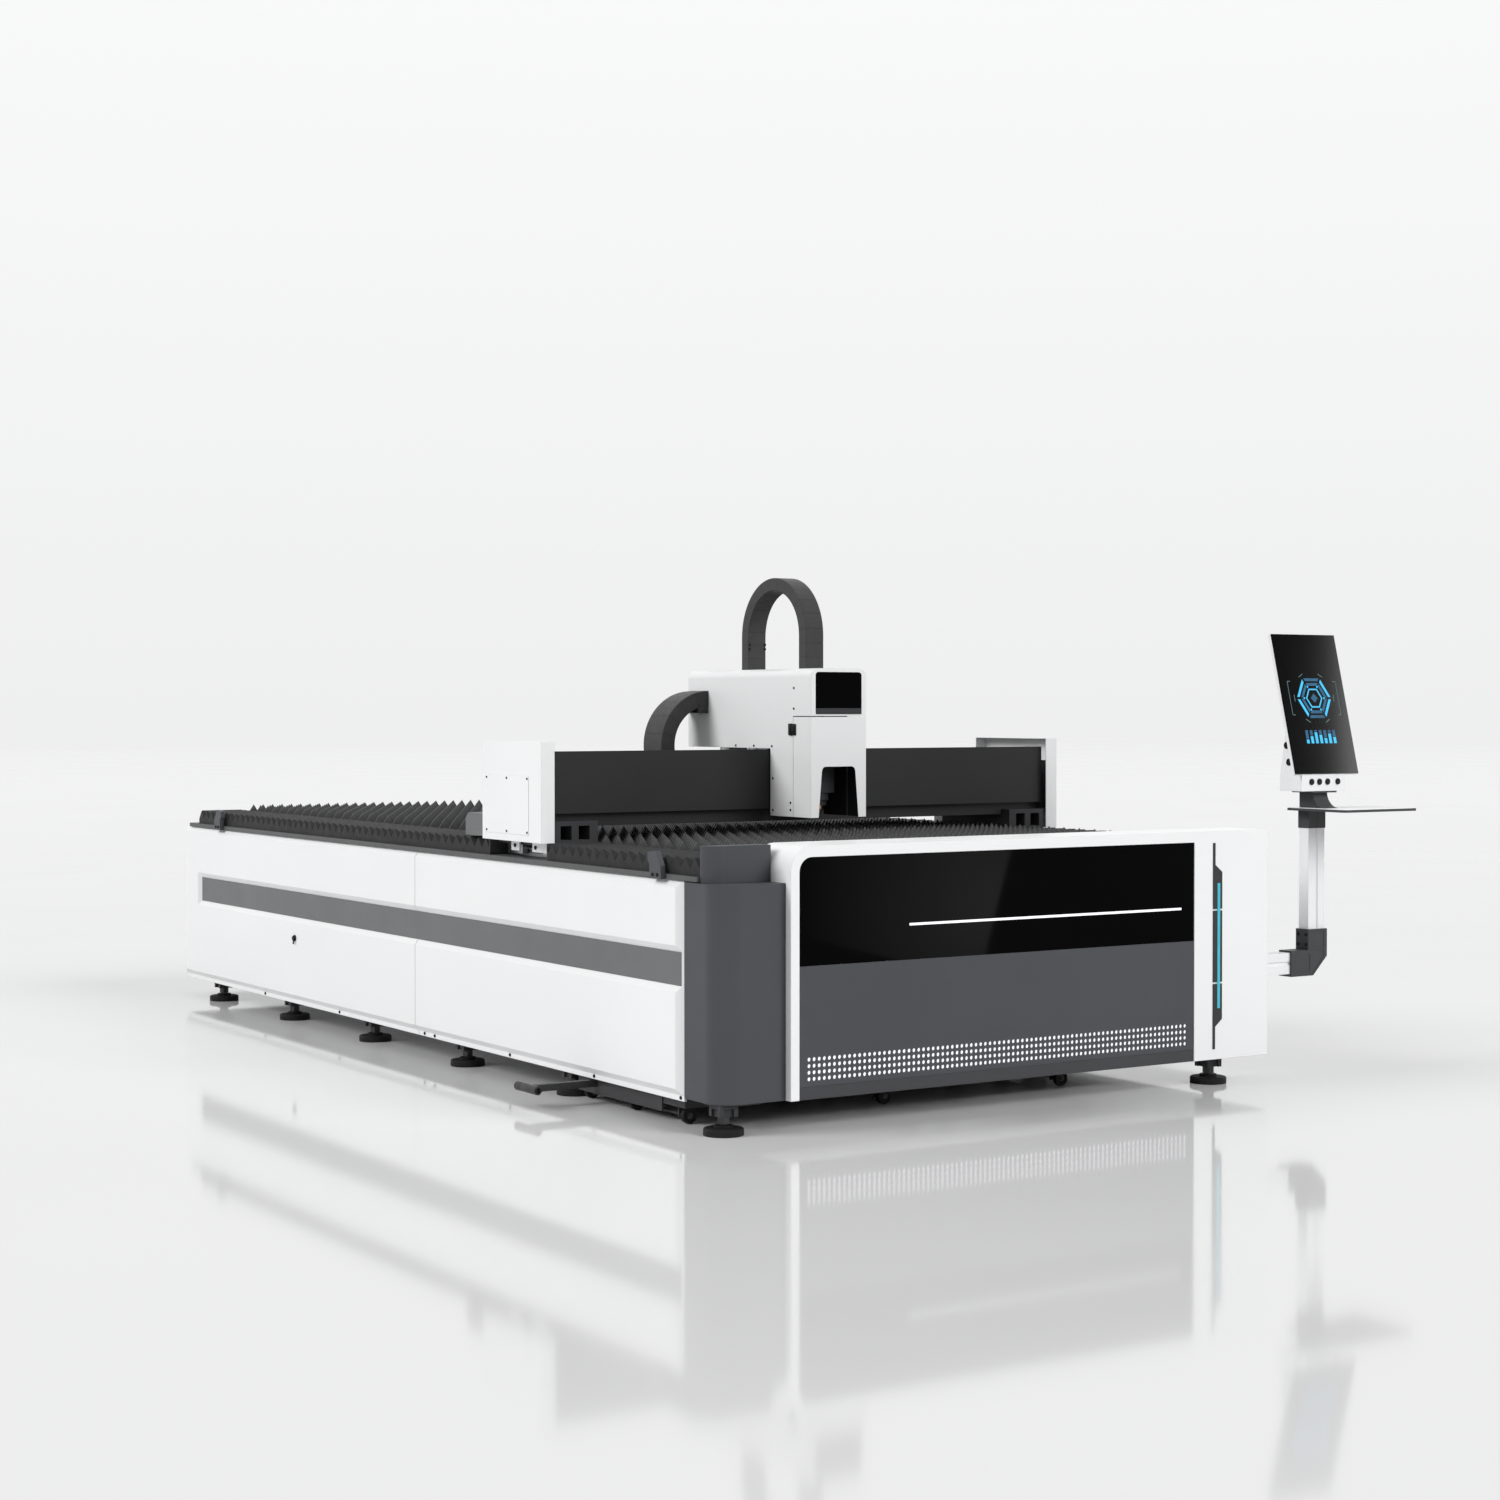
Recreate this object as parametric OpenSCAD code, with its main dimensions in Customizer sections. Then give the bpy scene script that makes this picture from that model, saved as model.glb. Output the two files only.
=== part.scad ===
// Flatbed fiber laser cutting machine: a welded bed with a slat table, a bridge that runs
// along the bed, a cutting head that runs across the bridge, a front cabinet, an operator
// console on a side arm and a low scrap cart that rolls out to the left.
// Drafting frame: x = 0 at the left panels, y = 0 at the corner post's front, z = 0 at the floor.

/* [Bed] */
// Width of the bed over both side panels
bed_w = 2200; // [2000:10:2600]
// Length from the corner post's front to the rear panel
bed_l = 4555; // [4300:5:5200]
// Height of the side panels' top edge
panel_top = 756; // [720:1:800]
// Height of the side panels' bottom edge
panel_bottom = 80; // [78:1:90]
// Depth of a side panel from its face to its inner side
panel_t = 24; // [20:1:40]
// Inset of the bottom lip and of the end bevels
panel_inset = 16; // [8:1:18]
// Height of the bottom lip
lip_h = 17; // [10:1:30]
// Height of the sloped bevels
panel_bevel = 20; // [10:1:30]
// Width of the upright bevels at the panels' ends
end_bevel_w = 28; // [20:1:40]
// Front end of the side panels
panel_front = 226; // [215:1:260]
// Place of the seam between front and rear panel
panel_seam = 2121; // [1800:1:2400]
// Gap between front and rear panel
seam_gap = 3; // [1:0.5:6]
// Bottom of the grey accent strip
strip_z0 = 433; // [400:1:460]
// Height of the grey accent strip
strip_h = 104; // [60:1:130]
// Depth of the strip's recess
strip_depth = 14; // [8:1:16]
// Thickness of the strip
strip_t = 2; // [1:0.5:4]
// Distance from the panels' front end to the strip
strip_front = 8; // [4:1:20]
// Distance from the strip's rear end to the rear panel
strip_rear = 178; // [120:1:240]
// Width of a side beam
side_beam_w = 216; // [200:1:240]
// Height of a side beam
side_beam_h = 200; // [150:1:260]
// Distance from the bed's rear to the panel lock
lock_rear = 1290; // [1000:1:1600]
// Height of the panel lock
lock_z = 350; // [300:1:400]
// Diameter of the panel lock's base
lock_d = 26; // [20:1:34]
// Wall of the bed's tubes
tube_wall = 8; // [4:1:14]
// Section of the cross beams
cross_tube = 80; // [60:1:100]
// Section of the legs
leg_tube = 64; // [50:1:76]

/* [Feet] */
// Distance of the left feet from the left panels
foot_left = 65; // [60:1:110]
// Distance of the corner foot from the left panels
foot_corner_x = 52; // [48:1:80]
// Distance of the right feet from the right panels
foot_right = 180; // [100:1:200]
// Place of the corner foot along the bed
foot_corner_y = 58; // [50:1:100]
// Distance of the front right foot's block from the corner post's front
foot_gap = 40; // [30:1:60]
// Place of the second row of feet along the bed
foot_first = 1012; // [1000:1:1100]
// Distance from the last row of feet to the rear panel
foot_rear = 323; // [250:1:400]
// Number of rows behind the front feet
foot_rows = 5; // [3:1:5]
// Diameter of a foot's pad
pad_d = 124; // [100:1:130]
// Thickness of a foot's pad
pad_h = 22; // [15:1:30]
// Radius of a pad's upper edge
pad_r = 6; // [2:1:8]
// Diameter of a pad's collar
collar_d = 58; // [44:1:70]
// Height of a pad's collar
collar_h = 8; // [4:1:10]
// Diameter of a foot's stem
stem_d = 22; // [16:1:28]
// Width of a jam nut across its corners
nut_d = 40; // [34:1:46]
// Gap between a pad and its jam nut
nut_up = 12; // [11:1:14]
// Depth of a stem in its foot block
stem_in = 28; // [20:1:34]
// Underside of the foot blocks
block_z = 56; // [50:1:64]
// Width of the slots in a foot block's sides
slot_w = 34; // [20:1:40]
// Depth of the slots in a foot block's sides
slot_d = 8; // [4:1:12]
// Height of the slots in a foot block's sides
slot_h = 24; // [12:1:30]
// Length of the plate over the corner foot
plate_l = 145; // [120:1:180]
// Depth of the plate over the corner foot
plate_d = 96; // [80:1:120]
// Thickness of the plate over the corner foot
plate_t = 8; // [5:1:12]

/* [Front cabinet] */
// Left side of the cabinet
cab_x = 238; // [220:1:260]
// Distance of the cabinet's face in front of the corner post
cab_front = 28; // [10:1:60]
// Depth of the cabinet
cab_depth = 208; // [190:1:260]
// Height of the cabinet's top
cab_top = 867; // [855:1:890]
// Underside of the cabinet and of the corner post
cab_bottom = 95; // [92:1:110]
// Sheet of the cabinet
cab_wall = 6; // [3:1:10]
// Depth of the folded front rim
rim_d = 38; // [25:1:60]
// Outer radius of the top left corner
cab_r = 75; // [40:1:90]
// Width of the rim at the left
rim_left = 31; // [20:1:50]
// Width of the rim at the top
rim_top = 35; // [20:1:60]
// Radius of the window's top left corner
win_r = 45; // [20:1:60]
// Width of the white column at the right
column_w = 336; // [300:1:420]
// Bottom edge of the window
win_z = 501; // [450:1:560]
// Recess of the window and of the vent panel
face_recess = 3; // [1:0.5:6]
// Thickness of the window
win_t = 12; // [8:1:16]
// Thickness of the vent panel and of the kick plate
vent_t = 4; // [2:0.5:6]
// Top edge of the kick plate
kick_z = 134; // [120:1:150]
// Diameter of a vent hole
hole_d = 12.5; // [8:0.5:14]
// Spacing of the vent holes across
hole_px = 18.75; // [18:0.25:19]
// Spacing of the vent holes upwards
hole_pz = 20; // [18:0.5:24]
// Distance of the outer vent holes from the panel's ends
hole_in = 38; // [20:1:80]
// Number of vent holes upwards
hole_nz = 4; // [2:1:6]
// Height of the lowest row of vent holes
hole_z = 157; // [148:1:180]
// Distance of the light bar from the window's left edge
bar_left = 413; // [300:1:600]
// Distance of the light bar from the column
bar_right = 56; // [30:1:120]
// Height of the light bar's lower edge
bar_z = 607; // [560:1:700]
// Height of the light bar
bar_h = 8; // [5:1:14]
// Depth of the light bar's groove
bar_d = 6; // [3:1:7]

/* [Accent] */
// Distance of the accent from the column's left edge
accent_in = 83; // [60:1:160]
// Width of the accent's thin line
accent_line = 9; // [6:1:12]
// Width of the accent's broad part
accent_w = 40; // [34:1:60]
// Lower end of the accent
accent_z0 = 130; // [110:1:160]
// Upper end of the accent
accent_z1 = 828; // [800:1:850]
// Bottom of the broad part's straight edge
broad_z0 = 231; // [220:1:260]
// Top of the broad part's straight edge
broad_z1 = 729; // [700:1:740]
// Slope at both ends of the broad part
broad_slope = 25; // [15:1:40]
// Thickness of the accent
accent_t = 3; // [2:0.5:5]
// Width of the light line
led_w = 12; // [8:1:16]
// Height of the light line's lower end
led_z = 268; // [262:1:300]
// Length of the light line
led_l = 424; // [380:1:430]
// Height of the lower gap in the accent
tick_low = 351; // [330:1:380]
// Height of the upper gap in the accent
tick_high = 599; // [560:1:620]
// Height of a gap
tick_h = 6; // [4:1:10]

/* [Corner] */
// Radius of the corner post
post_r = 80; // [50:1:90]
// Rear end of the corner post
post_rear = 200; // [190:1:205]
// Sheet of the corner post and of its cap
post_t = 4; // [2:0.5:6]
// Inset of the cap from the left panels
cap_in = 17; // [8:1:24]
// Front of the cap behind the post's front
cap_front = 84; // [70:1:100]
// Radius of the cap
cap_r = 48; // [30:1:60]
// Rear end of the cap
cap_rear = 136; // [134:1:160]

/* [Rails] */
// Thickness of the rail bases
base_h = 16; // [12:1:24]
// Outer edge of a rail base
base_x = 6; // [2:1:12]
// Place of the linear rail across the bed
rail_x = 110; // [100:1:116]
// Width of the linear rail
rail_w = 30; // [25:1:35]
// Height of the linear rail
rail_h = 28; // [24:1:32]
// Place of the gear rack across the bed
rack_x = 165; // [160:1:172]
// Width of the gear rack
rack_w = 25; // [18:1:28]
// Height of the gear rack
rack_h = 26; // [20:1:30]
// Distance of the rails' ends from the rear panel
rail_rear = 150; // [100:1:200]
// Length of a stop bracket
stop_l = 81; // [70:1:90]
// Length of a stop bracket's foot
stop_foot = 70; // [60:1:70]
// Thickness of a stop bracket
stop_t = 18; // [12:1:24]
// Height of a stop bracket
stop_h = 86; // [70:1:92]
// Front edge of the front stop bracket
stop_front = 320; // [300:1:340]
// Distance from the rear stop bracket to the rear panel
stop_rear = 410; // [390:1:450]

/* [Bellows] */
// Outer side of the bellows
bellows_x = 18; // [14:1:24]
// Width of the bellows
bellows_w = 190; // [185:1:196]
// Height of the folds' ridges over the rail base
bellows_h = 58; // [50:1:60]
// Depth of the folds
fold_d = 15; // [8:1:18]
// Length of one fold
fold_l = 58; // [40:1:80]
// Thickness of the bellows' skin
bellows_t = 5; // [3:0.5:6]

/* [Slats] */
// Distance between slats
slat_pitch = 85; // [70:1:120]
// First slat behind the corner post's front
slat_first = 228; // [215:1:250]
// Gap between a slat's end and the side beam
slat_in = 4.7; // [3:0.1:6]
// Thickness of a slat
slat_t = 4; // [3:0.5:6]
// Height of the slats' tips
slat_top = 852; // [846:1:860]
// Height of a slat
slat_h = 112; // [90:1:120]
// Depth of a tooth
tooth_h = 34; // [20:1:40]
// Length of a tooth
tooth_l = 45; // [40:1:60]
// Thickness of the slat racks
comb_t = 8; // [6:1:12]
// Height of the slat racks' top
comb_top = 815; // [800:1:820]

/* [Bridge] */
// Front of the end boxes
box_y = 1115; // [1000:1:1200]
// Length of an end box along the bed
box_l = 436; // [430:1:480]
// Thickness of an end box
box_t = 51; // [46:1:70]
// Overhang of an end box past the side panels
box_out = 7; // [2:1:10]
// Underside of the end boxes
box_z = 830; // [829:1:832]
// Height of the end boxes
box_h = 340; // [330:1:400]
// Sheet of the end boxes
box_wall = 3; // [2:0.5:5]
// Distance of the front lug from its end box's front
lug_front = 45; // [30:1:60]
// Length of the front lug
lug_front_l = 105; // [80:1:120]
// Distance of the rear lug from its end box's front
lug_rear = 245; // [230:1:280]
// Length of the rear lug
lug_rear_l = 60; // [50:1:90]
// Thickness of the lugs
lug_t = 6; // [4:1:8]
// Reach of the lugs under their end box
lug_drop = 36; // [20:1:40]
// Distance from the end boxes' front to the beam's cover
cover_y = 27; // [20:1:30]
// Sheet of the beam's cover
cover_t = 4; // [3:0.5:6]
// Underside of the beam's cover
cover_z = 927; // [915:1:940]
// Height of the beam's cover
cover_h = 211; // [205:1:212]
// Distance from the cover's face to the beam
beam_gap = 23; // [20:1:30]
// Depth of the beam
beam_d = 355; // [340:1:365]
// Underside of the beam
beam_z = 902; // [898:1:906]
// Height of the beam
beam_h = 183; // [175:1:184]
// Wall of the beam
beam_wall = 10; // [6:1:14]
// Width of the rails on the beam
x_rail_w = 28; // [23:1:30]
// Height of the rails on the beam
x_rail_h = 25; // [20:1:28]
// Distance of those rails from the beam's edges
x_rail_in = 50; // [45:1:60]
// Underside of the trucks
truck_z = 815; // [812:1:818]
// Outer side of the trucks
truck_x = 50; // [46:1:56]
// Width of the trucks
truck_w = 164; // [150:1:170]
// Sheet of the trucks' end flanges
flange_t = 6; // [4:1:8]
// Width of a window in the trucks
truck_win_w = 42; // [30:1:46]
// Distance of the outer window from a truck's outer side
truck_win_in = 21; // [12:1:24]
// Distance between the windows in a truck
truck_win_gap = 27; // [20:1:36]
// Height of the windows over a truck's underside
truck_win_up = 24; // [16:1:30]
// Distance of the windows from the beam's underside
truck_win_down = 16; // [10:1:24]
// Distance of the bearing blocks from a truck's ends
bearing_in = 25; // [15:1:60]
// Length of a bearing block
bearing_l = 110; // [90:1:130]
// Width of a bearing block
bearing_w = 70; // [60:1:84]
// Length of a drive guard
guard_l = 168; // [120:1:170]
// Width of a drive guard
guard_w = 112; // [90:1:120]
// Height of a drive guard
guard_h = 79; // [60:1:90]
// Height of the drive guards over the end boxes' underside
guard_up = 6; // [3:1:12]
// Chamfer of a drive guard
guard_cut = 20; // [10:1:30]
// Length of an access cover
hatch_l = 320; // [280:1:340]
// Height of an access cover
hatch_h = 200; // [160:1:240]
// Thickness of an access cover
hatch_t = 1.5; // [1:0.5:3]
// Distance of an access cover from its box's rear
hatch_rear = 27; // [20:1:40]
// Distance of an access cover from its box's underside
hatch_up = 24; // [15:1:40]

/* [Head] */
// Place of the head across the bed
head_x = 1037; // [1000:1:1090]
// Width of the head cover
head_w = 232; // [228:1:260]
// Distance of the head cover's front from the beam's cover
head_front = 263; // [255:1:290]
// Length of the head cover along the bed
head_l = 819; // [815:1:850]
// Height of the head cover's top
head_top = 1422; // [1410:1:1450]
// Underside of the head cover's front part and of the door
head_z = 903; // [900:1:908]
// Gap between the head cover's front part and the beam's cover
head_gap = 5; // [4:1:7]
// Gap between the head cover's rear part and the top of the beam's cover
head_rear_gap = 3; // [2:0.5:15]
// Sheet of the head cover and of the door
head_wall = 3; // [2:0.5:4]
// Radius of the head cover's top edges
head_r = 28; // [15:1:35]
// Top edge of the door
door_top = 1253; // [1240:1:1260]
// Depth of the door's side wings
door_d = 111; // [100:1:120]
// Gap around the door
door_gap = 1.5; // [1:0.5:3]
// Height of the cut-out in the door
cut_h = 177; // [150:1:190]
// Width of the cut-out at its top
cut_top_w = 138; // [120:1:150]
// Width of the cut-out at its bottom
cut_low_w = 168; // [155:1:180]
// Radius of the cut-out's top corners
cut_r = 14; // [8:1:20]
// Height of the head window
head_win_h = 146; // [130:1:148]
// Rim around the head window
head_win_rim = 19; // [14:1:24]
// Radius of the head window's corners
head_win_r = 12; // [6:1:18]
// Rim above the head window
head_win_up = 13; // [12:1:16]
// Thickness of the head window
head_win_t = 5; // [4:1:6]
// Thickness of the saddle's plates
saddle_t = 18; // [14:1:22]
// Gap between the saddle's plate and the beam's cover
saddle_gap = 4; // [3:0.5:8]
// Height of the saddle's upright plate over the head's underside
saddle_up = 32; // [20:1:50]
// Distance of the saddle's upright plate from the head's top
saddle_down = 27; // [20:1:50]
// Length of a bearing block of the saddle
shoe_l = 80; // [60:1:90]
// Width of a bearing block of the saddle
shoe_w = 60; // [50:1:70]
// Distance of the saddle's bearing blocks from the head's middle
shoe_x = 60; // [50:1:68]
// Width of a vertical guide
guide_w = 15; // [12:1:20]
// Depth of a vertical guide
guide_d = 14; // [10:1:18]
// Distance of the vertical guides from the upright plate's ends
guide_in = 10; // [5:1:20]
// Distance between the vertical guides
guide_span = 123; // [110:1:130]
// Height of the nozzle's tip
tip_z = 906; // [904:1:912]
// Height of the nozzle
nozzle_h = 36; // [30:1:44]
// Diameter of the cutting head's barrel
barrel_d = 78; // [60:1:84]
// Width of the cutting head's block
block_w = 86; // [80:1:96]
// Height of the cutting head's block
block_h = 250; // [220:1:260]
// Height of the block over the barrel's lower end
block_up = 44; // [36:1:50]
// Thickness of the cutting head's slide
slide_t = 14; // [10:1:18]
// Overhang of the slide past the vertical guides' middles
slide_side = 20; // [16:1:24]
// Length of a slide's shoe
slide_shoe = 60; // [50:1:70]
// Width of the nozzle at its tip
tip_d = 10; // [6:1:14]
// Width of the nozzle's collar
nozzle_d = 46; // [36:1:54]
// Height of the nozzle's collar
nozzle_collar = 14; // [10:1:18]
// Bore of the nozzle
bore_d = 3; // [1.5:0.5:4]
// Height of the lower hinge over the door's lower edge
hinge_up = 70; // [50:1:100]
// Distance of the upper hinge from the door's top edge
hinge_down = 110; // [80:1:130]
// Height of a hinge
hinge_h = 42; // [30:3:54]
// Radius of a hinge's knuckle
knuckle_r = 4; // [3:0.5:4]
// Width of a hinge's leaf
leaf_w = 20; // [14:1:26]
// Thickness of a hinge's leaf
leaf_t = 2; // [1.5:0.5:3]

/* [Drag chains] */
// Width of the head's upright drag chain
z_chain_w = 75; // [60:1:80]
// Thickness of the upright drag chain
z_chain_t = 46; // [36:1:50]
// Outer radius of the upright drag chain
z_chain_r = 210; // [190:1:215]
// Length of the upright drag chain's legs over the head cover
z_leg = 116; // [60:1:170]
// Depth of the upright drag chain's legs in the head cover
z_foot = 8; // [5:1:12]
// Distance from the head cover's front to the upright chain
z_chain_in = 101; // [95:1:120]
// Distance of the upright chain's left side from the cover's left side
z_chain_left = 46; // [40:1:60]
// Width of the drag chain along the bridge
x_chain_w = 132; // [110:1:132]
// Thickness of the drag chain along the bridge
x_chain_t = 57; // [45:1:57]
// Outer radius of the drag chain's loop
x_chain_r = 200; // [190:1:201]
// Height of the loop's middle
x_chain_z = 1147; // [1146:1:1148]
// Length of the loop's upper end, which enters the head cover
x_upper = 14; // [8:1:20]
// Length of the loop's lower end
x_lower = 180; // [100:1:300]
// Length of the bracket under the loop's upper end
x_bracket_l = 44; // [30:1:60]
// Height of the bracket under the loop's upper end
x_bracket_h = 23; // [15:1:26]
// Length of the straight run that lies in the tray
run_l = 1070; // [900:1:1300]
// Gap between the trucks and the chain tray
tray_gap = 6; // [3:1:20]
// Gap between the chain and the tray's rear wall
tray_room = 4; // [2:1:8]
// Sheet of the chain tray
tray_t = 6; // [3:0.5:6]

/* [Console] */
// Distance of the console's post from the bed's right side
post_out = 360; // [320:1:420]
// Place of the post along the bed
post_y = 124; // [110:1:126]
// Width of the post
post_w = 78; // [70:1:80]
// Depth of the post
post_d = 46; // [40:1:48]
// Height of the post's top
post_top = 858; // [840:1:862]
// Height of the arm
arm_h = 75; // [65:1:80]
// Underside of the arm
arm_z = 346; // [330:1:360]
// Width of the elbow
elbow_w = 91; // [90:1:96]
// Depth of the elbow
elbow_d = 62; // [58:1:70]
// Top of the elbow
elbow_top = 500; // [480:1:520]
// Length of the elbow's socket for the arm
socket_l = 82; // [60:1:100]
// Depth of the arm in the elbow's socket
socket_d = 24; // [15:1:40]
// Depth of the post in the elbow
post_in = 60; // [40:1:70]
// Depth of the recessed fields on the elbow's front
field_d = 1.5; // [0.5:0.5:3]
// Chamfer of the elbow's outer corner
elbow_cut = 67; // [50:1:70]
// Depth of the grooves in the arm and the post
groove_d = 5; // [3:1:6]
// Width of the grooves at their mouth
groove_w = 16; // [10:1:20]
// Size of the arm's plate around the arm
arm_plate = 20; // [12:1:30]
// Thickness of the arm's plate
arm_plate_t = 10; // [6:1:14]
// Diameter of the swivel pin
pin_d = 40; // [30:1:42]
// Length of the swivel pin
pin_l = 34; // [25:1:40]
// Height of the swivel block
swivel_h = 68; // [60:1:74]
// Width of the keyboard tray
shelf_w = 360; // [340:1:420]
// Depth of the keyboard tray
shelf_d = 290; // [270:1:320]
// Thickness of the keyboard tray
shelf_t = 4; // [3:0.5:6]
// Overhang of the keyboard tray left of the post's middle
shelf_left = 90; // [80:1:120]
// Overhang of the keyboard tray behind the post's middle
shelf_back = 41; // [36:1:60]
// Height of the tray's folded rim
shelf_rim = 9; // [6:1:14]
// Radius of the tray's corners
shelf_r = 18; // [10:1:24]
// Sheet of the tray's rim
shelf_edge = 3; // [2:0.5:4]
// Reach of the neck's foot in front of the post's middle
neck_reach = 97; // [90:1:110]
// Width of the plate on the neck
neck_plate = 120; // [100:1:140]
// Height of the neck
neck_h = 60; // [54:1:66]
// Radius of the neck's front curve
neck_r = 58; // [50:1:60]
// Width of the console's base box
base_w = 211; // [200:1:230]
// Depth of the console's base box
base_d = 106; // [100:1:120]
// Height of the console's base box
base_box_h = 60; // [54:1:66]
// Distance of the base box's front from the post's middle
base_front = 64; // [60:1:70]
// Distance of the base box's middle left of the post
base_left = 8; // [0:1:14]
// Width of the screen slab
slab_w = 310; // [290:1:330]
// Length of the screen slab
slab_l = 512; // [480:1:540]
// Distance of the slab's middle right of the post
slab_right = 7; // [0:1:14]
// Thickness of the slab's white back
slab_t = 12; // [8:1:16]
// Thickness of the screen's glass
glass_t = 4; // [3:0.5:6]
// Rim of the slab around the glass
slab_rim = 1.5; // [1:0.5:8]
// Lean of the screen
lean = 14; // [8:1:18]
// Length of slab that the housing's wedge supports
wedge_l = 190; // [150:1:240]
// Depth of the housing's wedge at its top
wedge_top = 18; // [6:1:24]
// Diameter of a push button
button_d = 21.4; // [18:0.2:22]
// Length of a push button
button_l = 16; // [14:1:18]
// Part of a push button that stands out
button_out = 5; // [4:0.5:7]
// Travel of a push button
button_travel = 3; // [2:0.5:3]

/* [Scrap cart] */
// Left end of the cart
cart_x = 40; // [36:1:60]
// Length of the cart's pan
cart_l = 1600; // [1500:1:1640]
// Front of the cart's pan
cart_y = 262; // [255:1:275]
// Width of the cart's pan
cart_w = 673; // [640:1:675]
// Top of the cart's pan
cart_top = 76; // [70:1:76]
// Sheet of the cart
cart_t = 2.5; // [2:0.5:4]
// Diameter of a cart wheel
wheel_d = 50; // [44:1:51]
// Width of a cart wheel
wheel_w = 18; // [12:1:24]
// Diameter of a cart axle
axle_d = 10; // [8:1:12]
// Distance of the first axle from the cart's left end
axle_in = 30; // [29:1:36]
// Distance of the last axle from the cart's right end
axle_end = 94; // [29:1:120]
// Distance of the front wheels from the pan's front
wheel_front = 28; // [20:1:34]
// Distance of the rear wheels from the pan's rear
wheel_rear = 30; // [24:1:36]
// Distance of the axle hangers from the pan's front and rear
hanger_in = 66; // [56:1:90]
// Width of an axle hanger
hanger_w = 28; // [22:1:34]
// Thickness of an axle hanger
hanger_t = 6; // [4:1:8]
// Front edge of the cart's apron
apron_y = 395; // [380:1:420]
// Sheet of the apron
apron_t = 4; // [3:0.5:6]
// Underside of the apron
apron_z = 27; // [22:1:34]
// Reach of the draw bar from the apron
bar_reach = 248; // [200:1:320]
// Width of the draw bar
draw_w = 24; // [18:1:30]
// Height of the draw bar
draw_h = 22; // [16:1:23]
// Place of the draw bar along the bed
draw_y = 820; // [700:1:840]
// Diameter of the grip
grip_d = 28; // [22:1:30]
// Length of the grip
grip_l = 140; // [110:1:180]
// Wall of the grip
grip_wall = 4; // [3:1:6]
// Depth of the hollows in the grip's ends
grip_hollow = 15; // [10:1:30]

/* [Fits] */
// Gap between pieces that are seated or bolted
seat = 0.3; // [0.2:0.05:0.5]
// Radial gap of a pin or an axle in its bore
run_gap = 0.05; // [0.02:0.01:0.1]
// Gap of bearing blocks around their rails
glide = 0.5; // [0.3:0.1:1]

/* [Hidden] */
$fn = 48;
eps = 1;
white = "white";
charcoal = "dimgray";
black = "#202225";
steel = "silver";

// Bed levels
beam_top = panel_top + eps;
beam_low = beam_top - side_beam_h;
beam_in = panel_t + seat + side_beam_w;
base_top = beam_top + base_h;
cab_back = cab_depth - cab_front;
beam_front = cab_back + seat;
beam_rear = bed_l - panel_t - seat;
cab_right = bed_w;
column_x = bed_w - column_w;
win_x = cab_x + rim_left;
win_top = cab_top - rim_top;
strip_start = panel_front + strip_front;
strip_end = bed_l - strip_rear;
cross_low = beam_low + 10;
comb_low = cross_low + cross_tube + 10;
slat_low = slat_top - slat_h;
rail_end = bed_l - rail_rear;
rail_start = cab_back + 20;
left_base_start = cap_rear + seat;
base_in = min(beam_in, cab_x) - 2;
bar_x = win_x + bar_left;
bar_l = column_x - bar_right - bar_x;
hole_nx = floor((column_x - win_x - 2 * hole_in) / hole_px) + 1;
front_foot_y = leg_tube / 2 + foot_gap;
foot_pitch = (bed_l - foot_rear - foot_first) / (foot_rows - 1);
foot_ys = [for (i = [0 : foot_rows - 1]) foot_first + i * foot_pitch];
foot_spots = concat(
    [[foot_corner_x, foot_corner_y], [bed_w - foot_right, front_foot_y]],
    [for (y = foot_ys) [foot_left, y]],
    [for (y = foot_ys) [bed_w - foot_right, y]]);

// Bridge levels
box_x = -box_out;
box_rear = box_y + box_l;
box_top = box_z + box_h;
cover_front = box_y + cover_y;
cover_top = cover_z + cover_h;
beam_y = cover_front + beam_gap;
beam_back = beam_y + beam_d;
deck = beam_z + beam_h;
rail_ys = [beam_y + x_rail_in, beam_back - x_rail_in];
saddle_z = cover_top + saddle_gap;
truck_front = box_y + 8;
truck_back = box_rear - 8;
chain_y = box_rear + 5;
chain_low = x_chain_z - x_chain_r;
chain_top = x_chain_z + x_chain_r;

// Head levels
head_y = cover_front - head_front;
head_left = head_x - head_w / 2;
head_right = head_x + head_w / 2;
head_back = head_y + head_l;
head_mid = cover_front - head_gap;
head_rear_z = cover_top + head_rear_gap;
door_end = head_y + door_d;
cheek_y = door_end + door_gap;
cheek_z = door_top + door_gap * 2;
saddle_front = head_mid - 26;
guide_y = saddle_front - guide_d;
slide_y = guide_y - glide - 20;
pivot_x = head_right + knuckle_r + 0.2;
pivot_y = door_end + door_gap / 2;

// Console levels
post_x = bed_w + post_out;
arm_mid = arm_z + arm_h / 2;
swivel_top = post_top + seat + swivel_h;
shelf_z = swivel_top + seat;
shelf_top = shelf_z + shelf_t;
base_z = shelf_top + neck_h + seat;
base_y = post_y - base_front;
slab_y = base_y - 5;
slab_z = base_z + base_box_h;
button_z = base_z + base_box_h * 0.55;
button_xs = [-66, -28, 11.5, 61.5];
shelf_right = post_x - shelf_left + shelf_w;
shelf_front = post_y + shelf_back - shelf_d;

// Cart levels
wheel_r = wheel_d / 2;
cart_low = wheel_d + 2;
apron_x = cart_x - apron_t;
grip_x = apron_x - bar_reach;
grip_z = cart_top - grip_d / 2 + 3;
axle_pitch = (cart_l - axle_in - axle_end) / 2;
axle_xs = [for (i = [0 : 2]) cart_x + axle_in + i * axle_pitch];
wheel_ys = [cart_y + wheel_front, cart_y + cart_w * 0.52, cart_y + cart_w - wheel_rear];
hanger_ys = [cart_y + hanger_in, cart_y + cart_w - hanger_in];

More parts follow.
